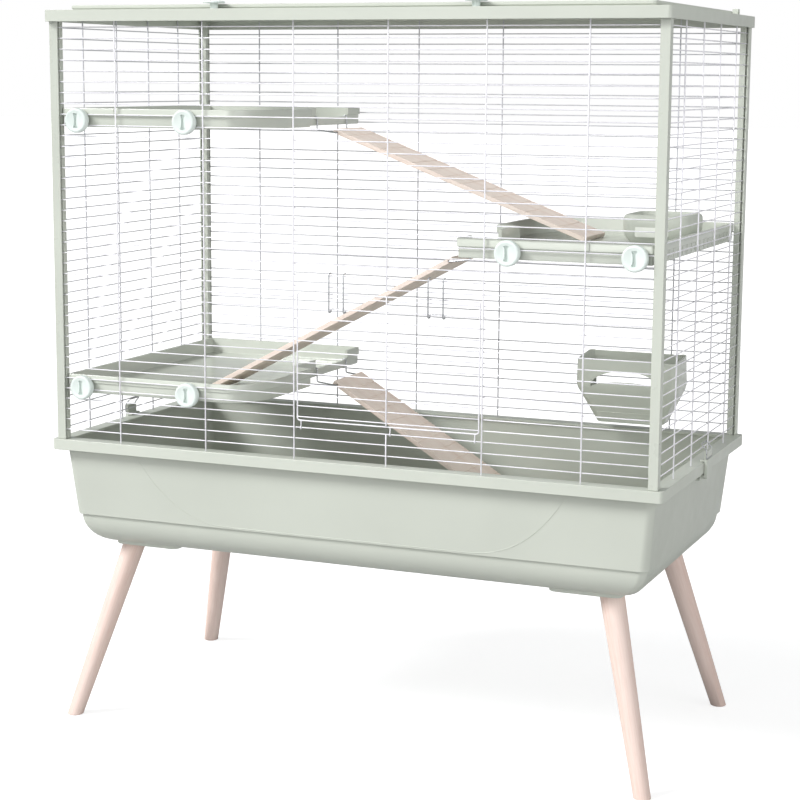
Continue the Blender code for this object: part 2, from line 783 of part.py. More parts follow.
def make_door_latch(name, centre_x):
    """A wire bail: over the panel wire at the top, down in front of the door, and back under a door wire."""
    pivot_z = row_z(DOOR_FIRST_ROW)
    hook_z = row_z(LATCH_HOOK_ROW) + LATCH_HOOK_RISE
    front_y = -PANEL_Y - LATCH_STAND_OFF
    back_y = -PANEL_Y + LATCH_STAND_OFF
    half = LATCH_WIDTH / 2 - LATCH_WIRE_RADIUS
    low_z = pivot_z - LATCH_STAND_OFF - LATCH_WIRE_RADIUS
    one_side = [
        (back_y - 2 * SLIDE_GAP, hook_z - SLIDE_GAP / 2),
        (front_y, hook_z),
        (front_y, low_z),
        (back_y, low_z),
        (back_y, pivot_z),
    ]
    path = [(centre_x - half, y, z) for y, z in one_side]
    path += [(centre_x + half, y, z) for y, z in reversed(one_side)]
    add_object(name, tube(path, LATCH_WIRE_RADIUS), STEEL, (centre_x, -PANEL_Y, pivot_z), smooth=True)


make_panels()
make_door()
make_door_latch("door_latch_left", LATCH_FIRST_X)
make_door_latch("door_latch_right", LATCH_FIRST_X + LATCH_SPACING)


# ---------------------------------------------------------------- shelves, knobs and ramps


def shelf_outline(inset, turned):
    """Plan of a left-hand tray, moved in by an inset. A turned tray is the same one turned half round."""
    edge = -SHELF_EDGE - inset
    nose = -SHELF_EDGE + SHELF_NOSE - inset
    front = -SHELF_Y + inset
    rear = SHELF_Y - inset
    outer = -SHELF_X + inset
    points = [(outer, rear), (outer, front)]
    centre_x = nose - SHELF_NOSE_ROUND_X + inset
    centre_y = -SHELF_Y + SHELF_NOSE_ROUND_Y
    radius_x = SHELF_NOSE_ROUND_X - inset
    radius_y = SHELF_NOSE_ROUND_Y - inset
    for step in range(SHELF_NOSE_STEPS + 1):
        turn = math.radians(90) * step / SHELF_NOSE_STEPS
        points.append((centre_x + radius_x * math.sin(turn), centre_y - radius_y * math.cos(turn)))
    nose_end = centre_y + SHELF_NOSE_LENGTH - inset
    points.append((nose, nose_end))
    points.append((edge, nose_end + SHELF_NOSE_SLOPE))
    points.append((edge, rear))
    sign = -1 if turned else 1
    return [(sign * x, sign * y) for x, y in points]


def knob_places(turned):
    """X of the two clamp knobs of one shelf."""
    if turned:
        outermost = POST_X - RIGHT_KNOB_FROM_SIDE
        return (outermost - KNOB_SPACING, outermost)
    outermost = LEFT_KNOB_FROM_SIDE - POST_X
    return (outermost, outermost + KNOB_SPACING)


def make_shelf(name, top, turned):
    bottom = top - SHELF_HEIGHT
    floor = bottom + SHELF_FLOOR
    lip = top - SHELF_LIP_HEIGHT
    wall = SHELF_LIP + SHELF_WALL
    levels = (
        (SHELF_LIP, bottom),
        (SHELF_LIP, lip),
        (0.0, lip),
        (0.0, top),
        (wall, top),
        (wall, floor),
    )
    rings = [[(*point, z) for point in shelf_outline(inset, turned)] for inset, z in levels]
    shelf = add_object(name, loft(rings), SAGE)

    sign = -1 if turned else 1
    doorstep = floor + SHELF_DOORSTEP
    xs = sorted((sign * (-SHELF_EDGE - wall - SLIDE_GAP), sign * (-SHELF_EDGE + SLIDE_GAP)))
    rear = SHELF_Y - RAMP_FROM_REAR + SHELF_DOORSTEP_SIDE
    ys = sorted((sign * rear, sign * (rear - RAMP_WIDTH - 2 * SHELF_DOORSTEP_SIDE)))
    cutters = [box((xs[0], ys[0], doorstep), (xs[1], ys[1], top + SHELF_LIP_HEIGHT))]
    for knob_x in knob_places(turned):
        centre = (knob_x, top - KNOB_BELOW_SHELF_TOP)
        outline = circle_points(BOLT_RADIUS + BOLT_CLEARANCE, BORE_SIDES, centre)
        cutters.append(prism(outline, -SHELF_Y - wall, -SHELF_Y + 2 * wall, "Y"))
    boolean(shelf, add_object(f"cutter_{name}", merged(cutters), SAGE), "DIFFERENCE")


def make_knob(name, x, z):
    """A round grip outside the front panel, with a bolt between two wires into the tray's wall."""
    back = -PANEL_Y - WIRE / 2 - SLIDE_GAP / 2
    front = back - KNOB_THICKNESS
    rings = []
    for radius, y in (
        (BOLT_RADIUS, back + BOLT_LENGTH),
        (BOLT_RADIUS, back),
        (KNOB_RADIUS, back),
        (KNOB_RADIUS, front + KNOB_BEVEL),
        (KNOB_RADIUS - KNOB_BEVEL, front),
    ):
        rings.append([(px, y, pz) for px, pz in circle_points(radius, KNOB_SIDES, (x, z))])
    knob = add_object(name, loft(rings), MINT, (x, back, z), smooth=True)
    half_width = KNOB_GRIP_WIDTH / 2
    half_end = KNOB_GRIP_END / 2
    half_length = KNOB_GRIP_LENGTH / 2
    neck = half_length - KNOB_GRIP_WIDTH
    quarter = [(half_width, 0.0), (half_width, neck), (half_end, half_length)]
    right = [(u, -v) for u, v in reversed(quarter[1:])] + quarter[1:]
    outline = [(x + u, z + v) for u, v in right]
    outline += [(x - u, z + v) for u, v in reversed(right)]
    grip = prism(outline, front - KNOB_BEVEL, front + KNOB_GRIP_DEPTH, "Y")
    boolean(knob, add_object(f"cutter_{name}", grip, MINT, (x, back, z)), "DIFFERENCE")


def make_ramp(level, floor, run, turned, shelf_top):
    """A plank hung by its top end on a bent wire, which hooks over the tray's low doorstep."""
    sign = -1 if turned else 1
    start_x = -SHELF_EDGE + RAMP_END_GAP
    start_z = shelf_top - SHELF_HEIGHT - RAMP_DROP
    fall = start_z - floor - RAMP_FLOOR_GAP
    length = math.hypot(run, fall)
    along = Vector((run / length, -fall / length))
    up = Vector((fall / length, run / length))
    bar_along = RAMP_THICKNESS
    bar_up = HANGER_RADIUS * 2
    notch = HANGER_RADIUS + HANGER_CLEARANCE
    notch_top = bar_up + notch
    outline = [(0.0, 0.0), (bar_along - notch, 0.0), (bar_along - notch, notch_top)]
    outline += [(bar_along + notch, notch_top), (bar_along + notch, 0.0), (length, 0.0)]
    outline.append((length, RAMP_THICKNESS))
    grooves = int((length - RAMP_GROOVE_PITCH) / RAMP_GROOVE_PITCH)
    low = RAMP_THICKNESS - RAMP_GROOVE_DEPTH
    for groove in range(grooves, 0, -1):
        middle = groove * RAMP_GROOVE_PITCH
        far = middle + RAMP_GROOVE_WIDTH / 2
        near = middle - RAMP_GROOVE_WIDTH / 2
        outline += [(far, RAMP_THICKNESS), (far, low), (near, low), (near, RAMP_THICKNESS)]
    outline.append((0.0, RAMP_THICKNESS))

    def place(point):
        flat = along * point[0] + up * point[1]
        return (sign * (start_x + flat[0]), start_z + flat[1])

    rear = SHELF_Y - RAMP_FROM_REAR
    ys = sorted((sign * rear, sign * (rear - RAMP_WIDTH)))
    bar_x, bar_z = place((bar_along, bar_up))
    origin = (bar_x, (ys[0] + ys[1]) / 2, bar_z)
    plank = prism([place(point) for point in outline], ys[0], ys[1], "Y")
    add_object(f"ramp_{level}", plank, WOOD, origin)

    rim_outer = -SHELF_EDGE - SHELF_LIP
    rim_inner = rim_outer - SHELF_WALL
    rim_z = shelf_top - SHELF_HEIGHT + SHELF_FLOOR + SHELF_DOORSTEP
    clear = HANGER_RADIUS + HANGER_CLEARANCE
    side = [
        (sign * (rim_inner - clear), rim_z - SHELF_DOORSTEP / 2),
        (sign * (rim_inner - clear), rim_z + clear),
        (sign * (rim_outer + clear), rim_z + clear),
        (sign * (rim_outer + clear), bar_z + HANGER_RADIUS * 3),
        (bar_x, bar_z),
    ]
    low_y = ys[0] - HANGER_SIDE_GAP
    high_y = ys[1] + HANGER_SIDE_GAP
    path = [(x, low_y, z) for x, z in side] + [(x, high_y, z) for x, z in reversed(side)]
    hanger = tube(path, HANGER_RADIUS)
    add_object(f"ramp_hanger_{level}", hanger, STEEL, origin, smooth=True)


SHELVES = (
    ("upper", UPPER_SHELF_TOP, False),
    ("middle", MIDDLE_SHELF_TOP, True),
    ("lower", LOWER_SHELF_TOP, False),
)
for level_name, shelf_top_z, is_turned in SHELVES:
    make_shelf(f"shelf_{level_name}", shelf_top_z, is_turned)
    for place_name, knob_x_place in zip(("left", "right"), knob_places(is_turned)):
        knob_z_place = shelf_top_z - KNOB_BELOW_SHELF_TOP
        make_knob(f"knob_{level_name}_{place_name}", knob_x_place, knob_z_place)

TRAY_FLOOR_BELOW_TOP = SHELF_HEIGHT - SHELF_FLOOR
RAMPS = (
    ("upper", MIDDLE_SHELF_TOP - TRAY_FLOOR_BELOW_TOP, UPPER_RAMP_RUN, False, UPPER_SHELF_TOP),
    ("middle", LOWER_SHELF_TOP - TRAY_FLOOR_BELOW_TOP, MIDDLE_RAMP_RUN, True, MIDDLE_SHELF_TOP),
    ("lower", TUB_FLOOR, LOWER_RAMP_RUN, False, LOWER_SHELF_TOP),
)
for ramp_values in RAMPS:
    make_ramp(*ramp_values)


# ---------------------------------------------------------------- bowl and hay rack


def make_bowl():
    bottom = MIDDLE_SHELF_TOP - TRAY_FLOOR_BELOW_TOP + GAP
    top = bottom + BOWL_HEIGHT
    foot = BOWL_HALF - BOWL_FOOT_INSET
    foot_corner = BOWL_CORNER - BOWL_WALL
    rings = []
    for half, corner, level in (
        (foot, foot_corner, bottom),
        (BOWL_HALF, BOWL_CORNER, bottom + BOWL_FOOT_HEIGHT),
        (BOWL_HALF, BOWL_CORNER, top - BOWL_WALL),
        (BOWL_HALF - BOWL_WALL / 2, BOWL_CORNER, top),
        (BOWL_HALF - BOWL_RIM, foot_corner, top),
        (BOWL_HALF - BOWL_RIM, foot_corner, bottom + BOWL_FOOT_HEIGHT),
        (foot - BOWL_WALL, foot_corner - BOWL_WALL, bottom + BOWL_WALL),
    ):
        outline = ring_points(half, half, corner, BOWL_STEPS, (BOWL_X, BOWL_Y))
        rings.append([(*point, level) for point in outline])
    add_object("bowl", loft(rings), SAGE, (BOWL_X, BOWL_Y, bottom), smooth=True)


def rack_ring(shrink, half, depth, level, ears=0.0):
    """One level of the rack, with its back against the rear panel. The two rear corners can rise as ears."""
    back = SHELF_Y - shrink
    front = SHELF_Y - depth + shrink
    outline = ring_points(
        half - shrink,
        (back - front) / 2,
        RACK_CORNER - shrink,
        CORNER_STEPS,
        (RACK_X, (back + front) / 2),
    )
    points = []
    for x, y in outline:
        near_back = y > back - RACK_CORNER
        near_side = abs(x - RACK_X) > half - shrink - RACK_CORNER
        points.append((x, y, level + (ears if near_back and near_side else 0.0)))
    return points


def make_rack():
    top = RACK_FLOOR + RACK_HEIGHT
    belly = RACK_FLOOR + RACK_BELLY
    rings = [
        rack_ring(0.0, RACK_HALF_FLOOR, RACK_DEPTH_FLOOR, RACK_FLOOR),
        rack_ring(0.0, RACK_HALF_BELLY, RACK_DEPTH_BELLY, belly),
        rack_ring(0.0, RACK_HALF_TOP, RACK_DEPTH_TOP, top, RACK_EAR),
        rack_ring(RACK_WALL, RACK_HALF_TOP, RACK_DEPTH_TOP, top, RACK_EAR),
        rack_ring(RACK_WALL, RACK_HALF_BELLY, RACK_DEPTH_BELLY, belly),
        rack_ring(RACK_WALL, RACK_HALF_FLOOR, RACK_DEPTH_FLOOR, RACK_FLOOR + RACK_WALL),
    ]
    rack = add_object("hay_rack", loft(rings), SAGE, (RACK_X, SHELF_Y, RACK_FLOOR), smooth=True)

    mouth_low = RACK_FLOOR + RACK_MOUTH_BOTTOM
    rise = RACK_MOUTH_TOP - RACK_MOUTH_BOTTOM
    outline = []
    for step in range(ARC_STEPS + 1):
        turn = math.pi * step / ARC_STEPS
        outline.append(
            (RACK_X + RACK_MOUTH_HALF * math.cos(turn), mouth_low + rise * math.sin(turn))
        )
    middle_y = SHELF_Y - RACK_DEPTH_FLOOR / 2
    mouth = prism(outline, SHELF_Y - RACK_DEPTH_TOP * 2, middle_y, "Y")
    boolean(rack, add_object("cutter_rack_mouth", mouth, SAGE), "DIFFERENCE")

    hook_wire = row_z(round((TOP_WIRE - top) / WIRE_PITCH))
    hook_low = hook_wire + WIRE / 2 + SLIDE_GAP
    inner = SHELF_Y - RACK_WALL / 2
    outer = PANEL_Y + WIRE / 2 + SLIDE_GAP + RACK_HOOK_WALL
    outline = [
        (inner, hook_low - RACK_HOOK_DROP - RACK_HOOK_WALL * 2),
        (SHELF_Y + SLIDE_GAP / 2, hook_low - RACK_HOOK_DROP - RACK_HOOK_WALL * 2),
        (SHELF_Y + SLIDE_GAP / 2, hook_low),
        (outer - RACK_HOOK_WALL, hook_low),
        (outer - RACK_HOOK_WALL, hook_low - RACK_HOOK_DROP),
        (outer, hook_low - RACK_HOOK_DROP),
        (outer, hook_low + RACK_HOOK_WALL),
        (inner, hook_low + RACK_HOOK_WALL),
    ]
    hooks = []
    for side in (-1, 1):
        middle = RACK_X + side * RACK_HOOK_SPACING / 2
        hooks.append(prism(outline, middle - RACK_HOOK_WIDTH / 2, middle + RACK_HOOK_WIDTH / 2, "X"))
    boolean(rack, add_object("cutter_rack_hooks", merged(hooks), SAGE), "UNION")


make_bowl()
make_rack()


# ---------------------------------------------------------------- roof


def make_lid():
    ledge_top = LID_BOTTOM + LID_LEDGE_THICKNESS
    profile = (
        (0.0, LID_BOTTOM + LID_CHAMFER),
        (0.0, LID_TOP - LID_CHAMFER / 2),
        (LID_CHAMFER / 2, LID_TOP),
        (LID_BORDER, LID_TOP),
        (LID_BORDER, ledge_top),
        (LID_BORDER + LID_LEDGE, ledge_top),
        (LID_BORDER + LID_LEDGE, LID_BOTTOM),
        (LID_CHAMFER, LID_BOTTOM),
    )
    lid = add_object(
        "roof_lid", band_ring(LID_X, LID_Y, profile), SAGE, (0.0, LID_AXIS_Y, LID_AXIS_Z)
    )
    pins = []
    for sign in (-1, 1):
        outline = circle_points(LID_PIN_RADIUS, BORE_SIDES, (LID_AXIS_Y, LID_AXIS_Z))
        ends = sorted((sign * (LID_X - LID_CHAMFER), sign * (LID_X + LID_PIN_LENGTH)))
        pins.append(prism(outline, ends[0], ends[1], "X"))
    boolean(lid, add_object("cutter_lid_pins", merged(pins), SAGE), "UNION")

    half_x = LID_X - LID_BORDER - SLIDE_GAP
    half_y = LID_Y - LID_BORDER - SLIDE_GAP
    inner_x = half_x - WIRE / 2
    inner_y = half_y - WIRE / 2
    uprights = [bar(inner_x * 2 * (index / (LID_BARS_X - 1) - 0.5)) for index in range(LID_BARS_X)]
    crosses = [bar(inner_y * 2 * (index / (LID_BARS_Y - 1) - 0.5)) for index in range(LID_BARS_Y)]
    cells = lattice(uprights, crosses, (-half_x, half_x), (-half_y, half_y))
    level = ledge_top + GAP + WIRE / 2
    add_object(
        "roof_grille",
        lattice_body(cells, lambda u, v, w: (u, v, level + w), WIRE),
        WHITE_WIRE,
        (0.0, LID_AXIS_Y, LID_AXIS_Z),
    )


def make_lock(name, x):
    """A cap on a stem. Its flat faces the lid at rest; turned half round, it holds the lid down."""
    y = -TOP_Y + LOCK_FROM_FRONT
    cap_bottom = LID_TOP + GAP + GAP
    half_angle = math.acos(LOCK_FLAT / LOCK_RADIUS)
    first = math.radians(90) + half_angle
    sweep = 2 * math.pi - 2 * half_angle
    cap = []
    stem = []
    for step in range(LOCK_STEPS + 1):
        turn = first + sweep * step / LOCK_STEPS
        cap.append((x + LOCK_RADIUS * math.cos(turn), y + LOCK_RADIUS * math.sin(turn)))
        stem.append((x + LOCK_STEM_RADIUS * math.cos(turn), y + LOCK_STEM_RADIUS * math.sin(turn)))
    rings = [
        [(*point, TOP_Z + GAP) for point in stem],
        [(*point, cap_bottom) for point in stem],
        [(*point, cap_bottom) for point in cap],
        [(*point, cap_bottom + LOCK_CAP) for point in cap],
    ]
    add_object(name, loft(rings), MINT, (x, y, TOP_Z + GAP), smooth=True)


make_lid()
make_lock("roof_lock_left", -LOCK_X)
make_lock("roof_lock_right", LOCK_X)


# ---------------------------------------------------------------- side latches


def make_side_latch(name, sign):
    """A lever hinged under the tub's flange and hooked over the cage's bottom frame, with a wire bail."""
    inner = RIM_X + 2 * GAP
    outer = inner + CLIP_THICKNESS
    low = CLIP_PIVOT_Z - CLIP_FOOT / 2
    foot_top = CLIP_PIVOT_Z + CLIP_FOOT / 2
    top = low + CLIP_HEIGHT
    hook = RIM_TOP + CLIP_HOOK_LIFT
    groove_z = top - CLIP_GROOVE_DROP
    groove_x = outer - CLIP_GROOVE
    outline = [
        (CLIP_PIVOT_X - CLIP_FOOT / 2, low),
        (outer, low),
        (outer, groove_z - CLIP_GROOVE / 2),
        (groove_x, groove_z - CLIP_GROOVE / 2),
        (groove_x, groove_z + CLIP_GROOVE / 2),
        (outer, groove_z + CLIP_GROOVE / 2),
        (outer, top),
        (inner, top),
        (inner, hook + CLIP_HOOK_THICKNESS),
        (inner - CLIP_HOOK_REACH, hook + CLIP_HOOK_THICKNESS),
        (inner - CLIP_HOOK_REACH, hook),
        (inner, hook),
        (inner, foot_top),
        (CLIP_PIVOT_X - CLIP_FOOT / 2, foot_top),
    ]
    placed = [(sign * x, z) for x, z in outline]
    pivot = (sign * CLIP_PIVOT_X, 0.0, CLIP_PIVOT_Z)
    lever = add_object(
        f"side_latch_{name}", prism(placed, -CLIP_HALF_WIDTH, CLIP_HALF_WIDTH, "Y"), SAGE, pivot
    )
    reach = CLIP_HALF_WIDTH + CLIP_PIN_LENGTH
    pin = prism(circle_points(CLIP_PIN_RADIUS, BORE_SIDES, (pivot[0], pivot[2])), -reach, reach, "Y")
    boolean(lever, add_object(f"cutter_side_pin_{name}", pin, SAGE, pivot), "UNION")

    bail_x = outer - CLIP_GROOVE / 2
    side_y = CLIP_HALF_WIDTH + BAIL_RADIUS + SLIDE_GAP
    end_gap = SLIDE_GAP / 2
    half = [
        (bail_x, end_gap, groove_z),
        (bail_x, side_y, groove_z),
        (bail_x, side_y, groove_z + CLIP_GROOVE_DROP),
        (bail_x - BAIL_LEAN, side_y, groove_z + BAIL_RISE),
    ]
    path = [(sign * x, y, z) for x, y, z in half]
    path += [(sign * x, -y, z) for x, y, z in reversed(half)]
    bail = tube(path, BAIL_RADIUS)
    add_object(f"side_bail_{name}", bail, STEEL, (sign * bail_x, 0.0, groove_z), smooth=True)


make_side_latch("left", -1)
make_side_latch("right", 1)
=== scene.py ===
"""The finished look of the small-pet cage: round wires, moulded plastic, pale wood and bright bent wire."""

import json
import math
import random

import bmesh
import bpy
from mathutils import Matrix, Vector

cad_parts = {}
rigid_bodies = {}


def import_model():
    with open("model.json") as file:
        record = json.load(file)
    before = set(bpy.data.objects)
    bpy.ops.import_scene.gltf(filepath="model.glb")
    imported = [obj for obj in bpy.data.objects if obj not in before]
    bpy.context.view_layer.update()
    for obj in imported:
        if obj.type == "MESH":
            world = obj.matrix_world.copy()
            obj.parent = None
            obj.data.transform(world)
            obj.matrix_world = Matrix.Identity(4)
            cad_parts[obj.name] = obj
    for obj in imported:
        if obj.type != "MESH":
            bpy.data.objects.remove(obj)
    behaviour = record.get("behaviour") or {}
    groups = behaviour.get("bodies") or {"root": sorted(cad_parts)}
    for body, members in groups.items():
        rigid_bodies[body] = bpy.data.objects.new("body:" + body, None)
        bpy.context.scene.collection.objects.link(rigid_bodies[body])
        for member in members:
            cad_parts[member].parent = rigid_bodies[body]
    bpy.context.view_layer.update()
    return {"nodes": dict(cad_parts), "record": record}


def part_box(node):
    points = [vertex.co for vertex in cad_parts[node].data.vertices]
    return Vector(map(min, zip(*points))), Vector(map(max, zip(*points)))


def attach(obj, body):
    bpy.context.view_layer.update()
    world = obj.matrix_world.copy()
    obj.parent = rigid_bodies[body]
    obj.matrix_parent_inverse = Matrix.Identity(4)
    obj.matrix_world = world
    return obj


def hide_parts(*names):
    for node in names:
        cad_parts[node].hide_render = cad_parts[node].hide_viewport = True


for old in list(bpy.data.objects):
    bpy.data.objects.remove(old, do_unlink=True)

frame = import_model()
chance = random.Random(7)

BODY_OF = {
    node: body
    for body, nodes in frame["record"]["behaviour"]["bodies"].items()
    for node in nodes
}


# ------------------------------------------------------------------ materials


def add_node(tree, kind, inputs=None, **settings):
    made = tree.nodes.new("ShaderNode" + kind)
    for key, value in settings.items():
        setattr(made, key, value)
    for key, value in (inputs or {}).items():
        if isinstance(value, bpy.types.NodeSocket):
            tree.links.new(value, made.inputs[key])
        else:
            made.inputs[key].default_value = value
    return made


def ramp(tree, factor, stops):
    made = add_node(tree, "ValToRGB", {"Fac": factor})
    elements = made.color_ramp.elements
    for element, (position, colour) in zip(elements, (stops[0], stops[-1])):
        element.position = position
        element.color = (*colour, 1.0)
    for position, colour in stops[1:-1]:
        element = elements.new(position)
        element.color = (*colour, 1.0)
    return made.outputs["Color"]


def noise(tree, vector, scale, detail=2.0, roughness=0.5):
    values = {"Vector": vector, "Scale": scale, "Detail": detail, "Roughness": roughness}
    return add_node(tree, "TexNoise", values).outputs["Fac"]


def spread(tree, value, low, high, start=0.3, end=0.7):
    values = {"Value": value, "From Min": start, "From Max": end, "To Min": low, "To Max": high}
    return add_node(tree, "MapRange", values).outputs["Result"]


def bump(tree, height, distance, strength=1.0, normal=None):
    values = {"Height": height, "Distance": distance, "Strength": strength}
    if normal is not None:
        values["Normal"] = normal
    return add_node(tree, "Bump", values).outputs["Normal"]


def stretched(tree, coordinates, scale):
    return add_node(tree, "Mapping", {"Vector": coordinates, "Scale": scale}).outputs["Vector"]


def start_material(name):
    made = bpy.data.materials.new(f"{name}_finish")
    made.use_nodes = True
    tree = made.node_tree
    coordinates = add_node(tree, "TexCoord").outputs["Object"]
    return made, tree, tree.nodes["Principled BSDF"], coordinates


def shade(colour, factor):
    return tuple(min(1.0, channel * factor) for channel in colour)


def plastic(name, colour, roughness, grain=0.00003, coat=0.0):
    """Moulded plastic: slow drifts of tone, a fine spark-eroded grain and uneven gloss."""
    made, tree, shader, coordinates = start_material(name)
    drift = noise(tree, coordinates, scale=5.0, detail=3.0)
    stops = ((0.25, shade(colour, 0.955)), (0.5, colour), (0.75, shade(colour, 1.03)))
    tree.links.new(ramp(tree, drift, stops), shader.inputs["Base Color"])
    gloss = noise(tree, coordinates, scale=38.0, detail=4.0, roughness=0.6)
    uneven = spread(tree, gloss, roughness - 0.05, roughness + 0.07)
    tree.links.new(uneven, shader.inputs["Roughness"])
    skin = noise(tree, coordinates, scale=2600.0, detail=1.0)
    waves = noise(tree, coordinates, scale=9.0, detail=1.0)
    fine = bump(tree, skin, distance=grain, strength=0.5)
    tree.links.new(bump(tree, waves, distance=0.0009, strength=0.35, normal=fine), shader.inputs["Normal"])
    shader.inputs["Coat Weight"].default_value = coat
    shader.inputs["Coat Roughness"].default_value = 0.12
    shader.inputs["Specular IOR Level"].default_value = 0.5
    return made


def coated_wire(name, colour, roughness):
    """Thin coating over drawn wire: small lumps and dull spots."""
    made, tree, shader, coordinates = start_material(name)
    spots = noise(tree, coordinates, scale=70.0, detail=4.0, roughness=0.6)
    stops = ((0.3, shade(colour, 0.9)), (0.5, colour), (0.7, shade(colour, 1.04)))
    tree.links.new(ramp(tree, spots, stops), shader.inputs["Base Color"])
    dull_spots = noise(tree, coordinates, scale=260.0, detail=2.0)
    dull = spread(tree, dull_spots, roughness - 0.06, roughness + 0.12)
    tree.links.new(dull, shader.inputs["Roughness"])
    lumps = noise(tree, coordinates, scale=420.0, detail=2.0)
    tree.links.new(bump(tree, lumps, distance=0.00012, strength=0.5), shader.inputs["Normal"])
    return made


def bright_steel(name, colour):
    """Drawn bright wire: metal with fine die lines and grey patches."""
    made, tree, shader, coordinates = start_material(name)
    patches = noise(tree, coordinates, scale=160.0, detail=3.0)
    stops = ((0.3, shade(colour, 0.72)), (0.55, colour), (0.8, shade(colour, 1.15)))
    tree.links.new(ramp(tree, patches, stops), shader.inputs["Base Color"])
    dull = spread(tree, noise(tree, coordinates, scale=500.0, detail=2.0), 0.2, 0.38)
    tree.links.new(dull, shader.inputs["Roughness"])
    lines = noise(tree, stretched(tree, coordinates, (1.0, 1.0, 0.05)), scale=2200.0, detail=1.0)
    tree.links.new(bump(tree, lines, distance=0.00004, strength=0.4), shader.inputs["Normal"])
    shader.inputs["Metallic"].default_value = 1.0
    return made


def pale_wood(name, pale, dark, along):
    """Sanded pale wood with its fibres along one of the piece's own axes."""
    made, tree, shader, coordinates = start_material(name)
    fibre_scale = [1.0, 1.0, 1.0]
    fibre_scale["XYZ".index(along)] = 0.035
    lengthways = stretched(tree, coordinates, fibre_scale)
    bands = noise(tree, lengthways, scale=42.0, detail=3.0, roughness=0.55)
    fibres = noise(tree, lengthways, scale=520.0, detail=4.0, roughness=0.65)
    mixed = add_node(tree, "Math", {0: bands, 1: fibres}, operation="ADD").outputs[0]
    half = add_node(tree, "Math", {0: mixed, 1: 0.5}, operation="MULTIPLY").outputs[0]
    middle = tuple((a + b) / 2 for a, b in zip(pale, dark))
    stops = ((0.33, dark), (0.44, middle), (0.56, pale), (0.72, shade(pale, 1.04)))
    tree.links.new(ramp(tree, half, stops), shader.inputs["Base Color"])
    tree.links.new(spread(tree, fibres, 0.5, 0.72), shader.inputs["Roughness"])
    pores = bump(tree, fibres, distance=0.00016, strength=0.55)
    tree.links.new(bump(tree, bands, distance=0.0003, strength=0.3, normal=pores), shader.inputs["Normal"])
    return made


SAGE_COLOUR = (0.535, 0.562, 0.500)
SAGE = plastic("sage_plastic", SAGE_COLOUR, 0.36)
SAGE_BAND = plastic("sage_band_plastic", shade(SAGE_COLOUR, 1.03), 0.33)
SAGE_TRAY = plastic("sage_tray_plastic", shade(SAGE_COLOUR, 1.06), 0.2, 0.00001, 0.35)
SAGE_POST = plastic("sage_post_plastic", SAGE_COLOUR, 0.3, 0.00002)
MINT = plastic("mint_plastic", (0.72, 0.79, 0.755), 0.34)
# Painted highlight: a pale, glossy plastic for the bowl's front panel, standing in for a bright reflection
# there.
PAINTED_HIGHLIGHT_PATCH = plastic("painted_highlight_plastic", (0.80, 0.82, 0.76), 0.25, 0.00001, 0.2)
WHITE_WIRE = coated_wire("white_wire", (0.84, 0.83, 0.87), 0.3)
# Painted shade: a darker copy of the white wire, for the rear and left walls, which are the same white wire
# as the front and right.
PAINTED_SHADE_WIRE = coated_wire("painted_shade_wire", (0.60, 0.60, 0.64), 0.32)
STEEL = bright_steel("bright_wire", (0.60, 0.61, 0.63))
WOOD_X = pale_wood("ramp_wood", (0.90, 0.79, 0.71), (0.81, 0.655, 0.565), "X")
WOOD_Z = pale_wood("leg_wood", (0.755, 0.610, 0.550), (0.665, 0.490, 0.420), "Z")


# ------------------------------------------------------------------ mesh tools


def ring_points(half_x, half_y, corner, steps, centre=(0.0, 0.0)):
    """A rectangle with round corners, anticlockwise."""
    points = []
    for quarter, (sign_x, sign_y) in enumerate(((1, 1), (-1, 1), (-1, -1), (1, -1))):
        for step in range(steps + 1):
            turn = math.radians(90) * (quarter + step / steps)
            x = centre[0] + sign_x * (half_x - corner) + corner * math.cos(turn)
            y = centre[1] + sign_y * (half_y - corner) + corner * math.sin(turn)
            points.append((x, y))
    return points


def circle_points(radius, sides, centre=(0.0, 0.0)):
    turns = [2 * math.pi * side / sides for side in range(sides)]
    return [(centre[0] + radius * math.cos(turn), centre[1] + radius * math.sin(turn)) for turn in turns]


def round_corners(points, radius, steps=4):
    """A closed plan outline with each corner cut by a curve."""
    corners = [Vector(point) for point in points]
    smooth = []
    for index, corner in enumerate(corners):
        back = corners[index - 1] - corner
        ahead = corners[(index + 1) % len(corners)] - corner
        start = corner + back.normalized() * min(radius, back.length * 0.45)
        end = corner + ahead.normalized() * min(radius, ahead.length * 0.45)
        for step in range(steps + 1):
            share = step / steps
            near = start.lerp(corner, share)
            far = corner.lerp(end, share)
            smooth.append(tuple(near.lerp(far, share)))
    return smooth


def loft_into(made, rings, closed=False):
    """Adds a body through rings of points with equal counts. An open loft is capped at both ends."""
    levels = [[made.verts.new(point) for point in ring] for ring in rings]
    count = len(levels[0])
    pairs = list(zip(levels, levels[1:]))
    if closed:
        pairs.append((levels[-1], levels[0]))
    faces = []
    for lower, upper in pairs:
        for index in range(count):
            following = (index + 1) % count
            corners = (lower[index], lower[following], upper[following], upper[index])
            faces.append(made.faces.new(corners))
    if not closed:
        faces.append(made.faces.new(levels[0]))
        faces.append(made.faces.new(levels[-1]))
    bmesh.ops.recalc_face_normals(made, faces=faces)
    return faces


def loft(rings):
    made = bmesh.new()
    loft_into(made, rings)
    return made


def prism_into(made, outline, start, end, axis):
    """A 2-D outline pulled along one axis. Its coordinates are the other two axes, in alphabetical order."""
    def place(point, along):
        coordinates = list(point)
        coordinates.insert("XYZ".index(axis), along)
        return coordinates

    rings = [[place(point, start) for point in outline], [place(point, end) for point in outline]]
    return loft_into(made, rings)


def box_into(made, low, high):
    outline = [(low[0], low[1]), (high[0], low[1]), (high[0], high[1]), (low[0], high[1])]
    return prism_into(made, outline, low[2], high[2], "Z")


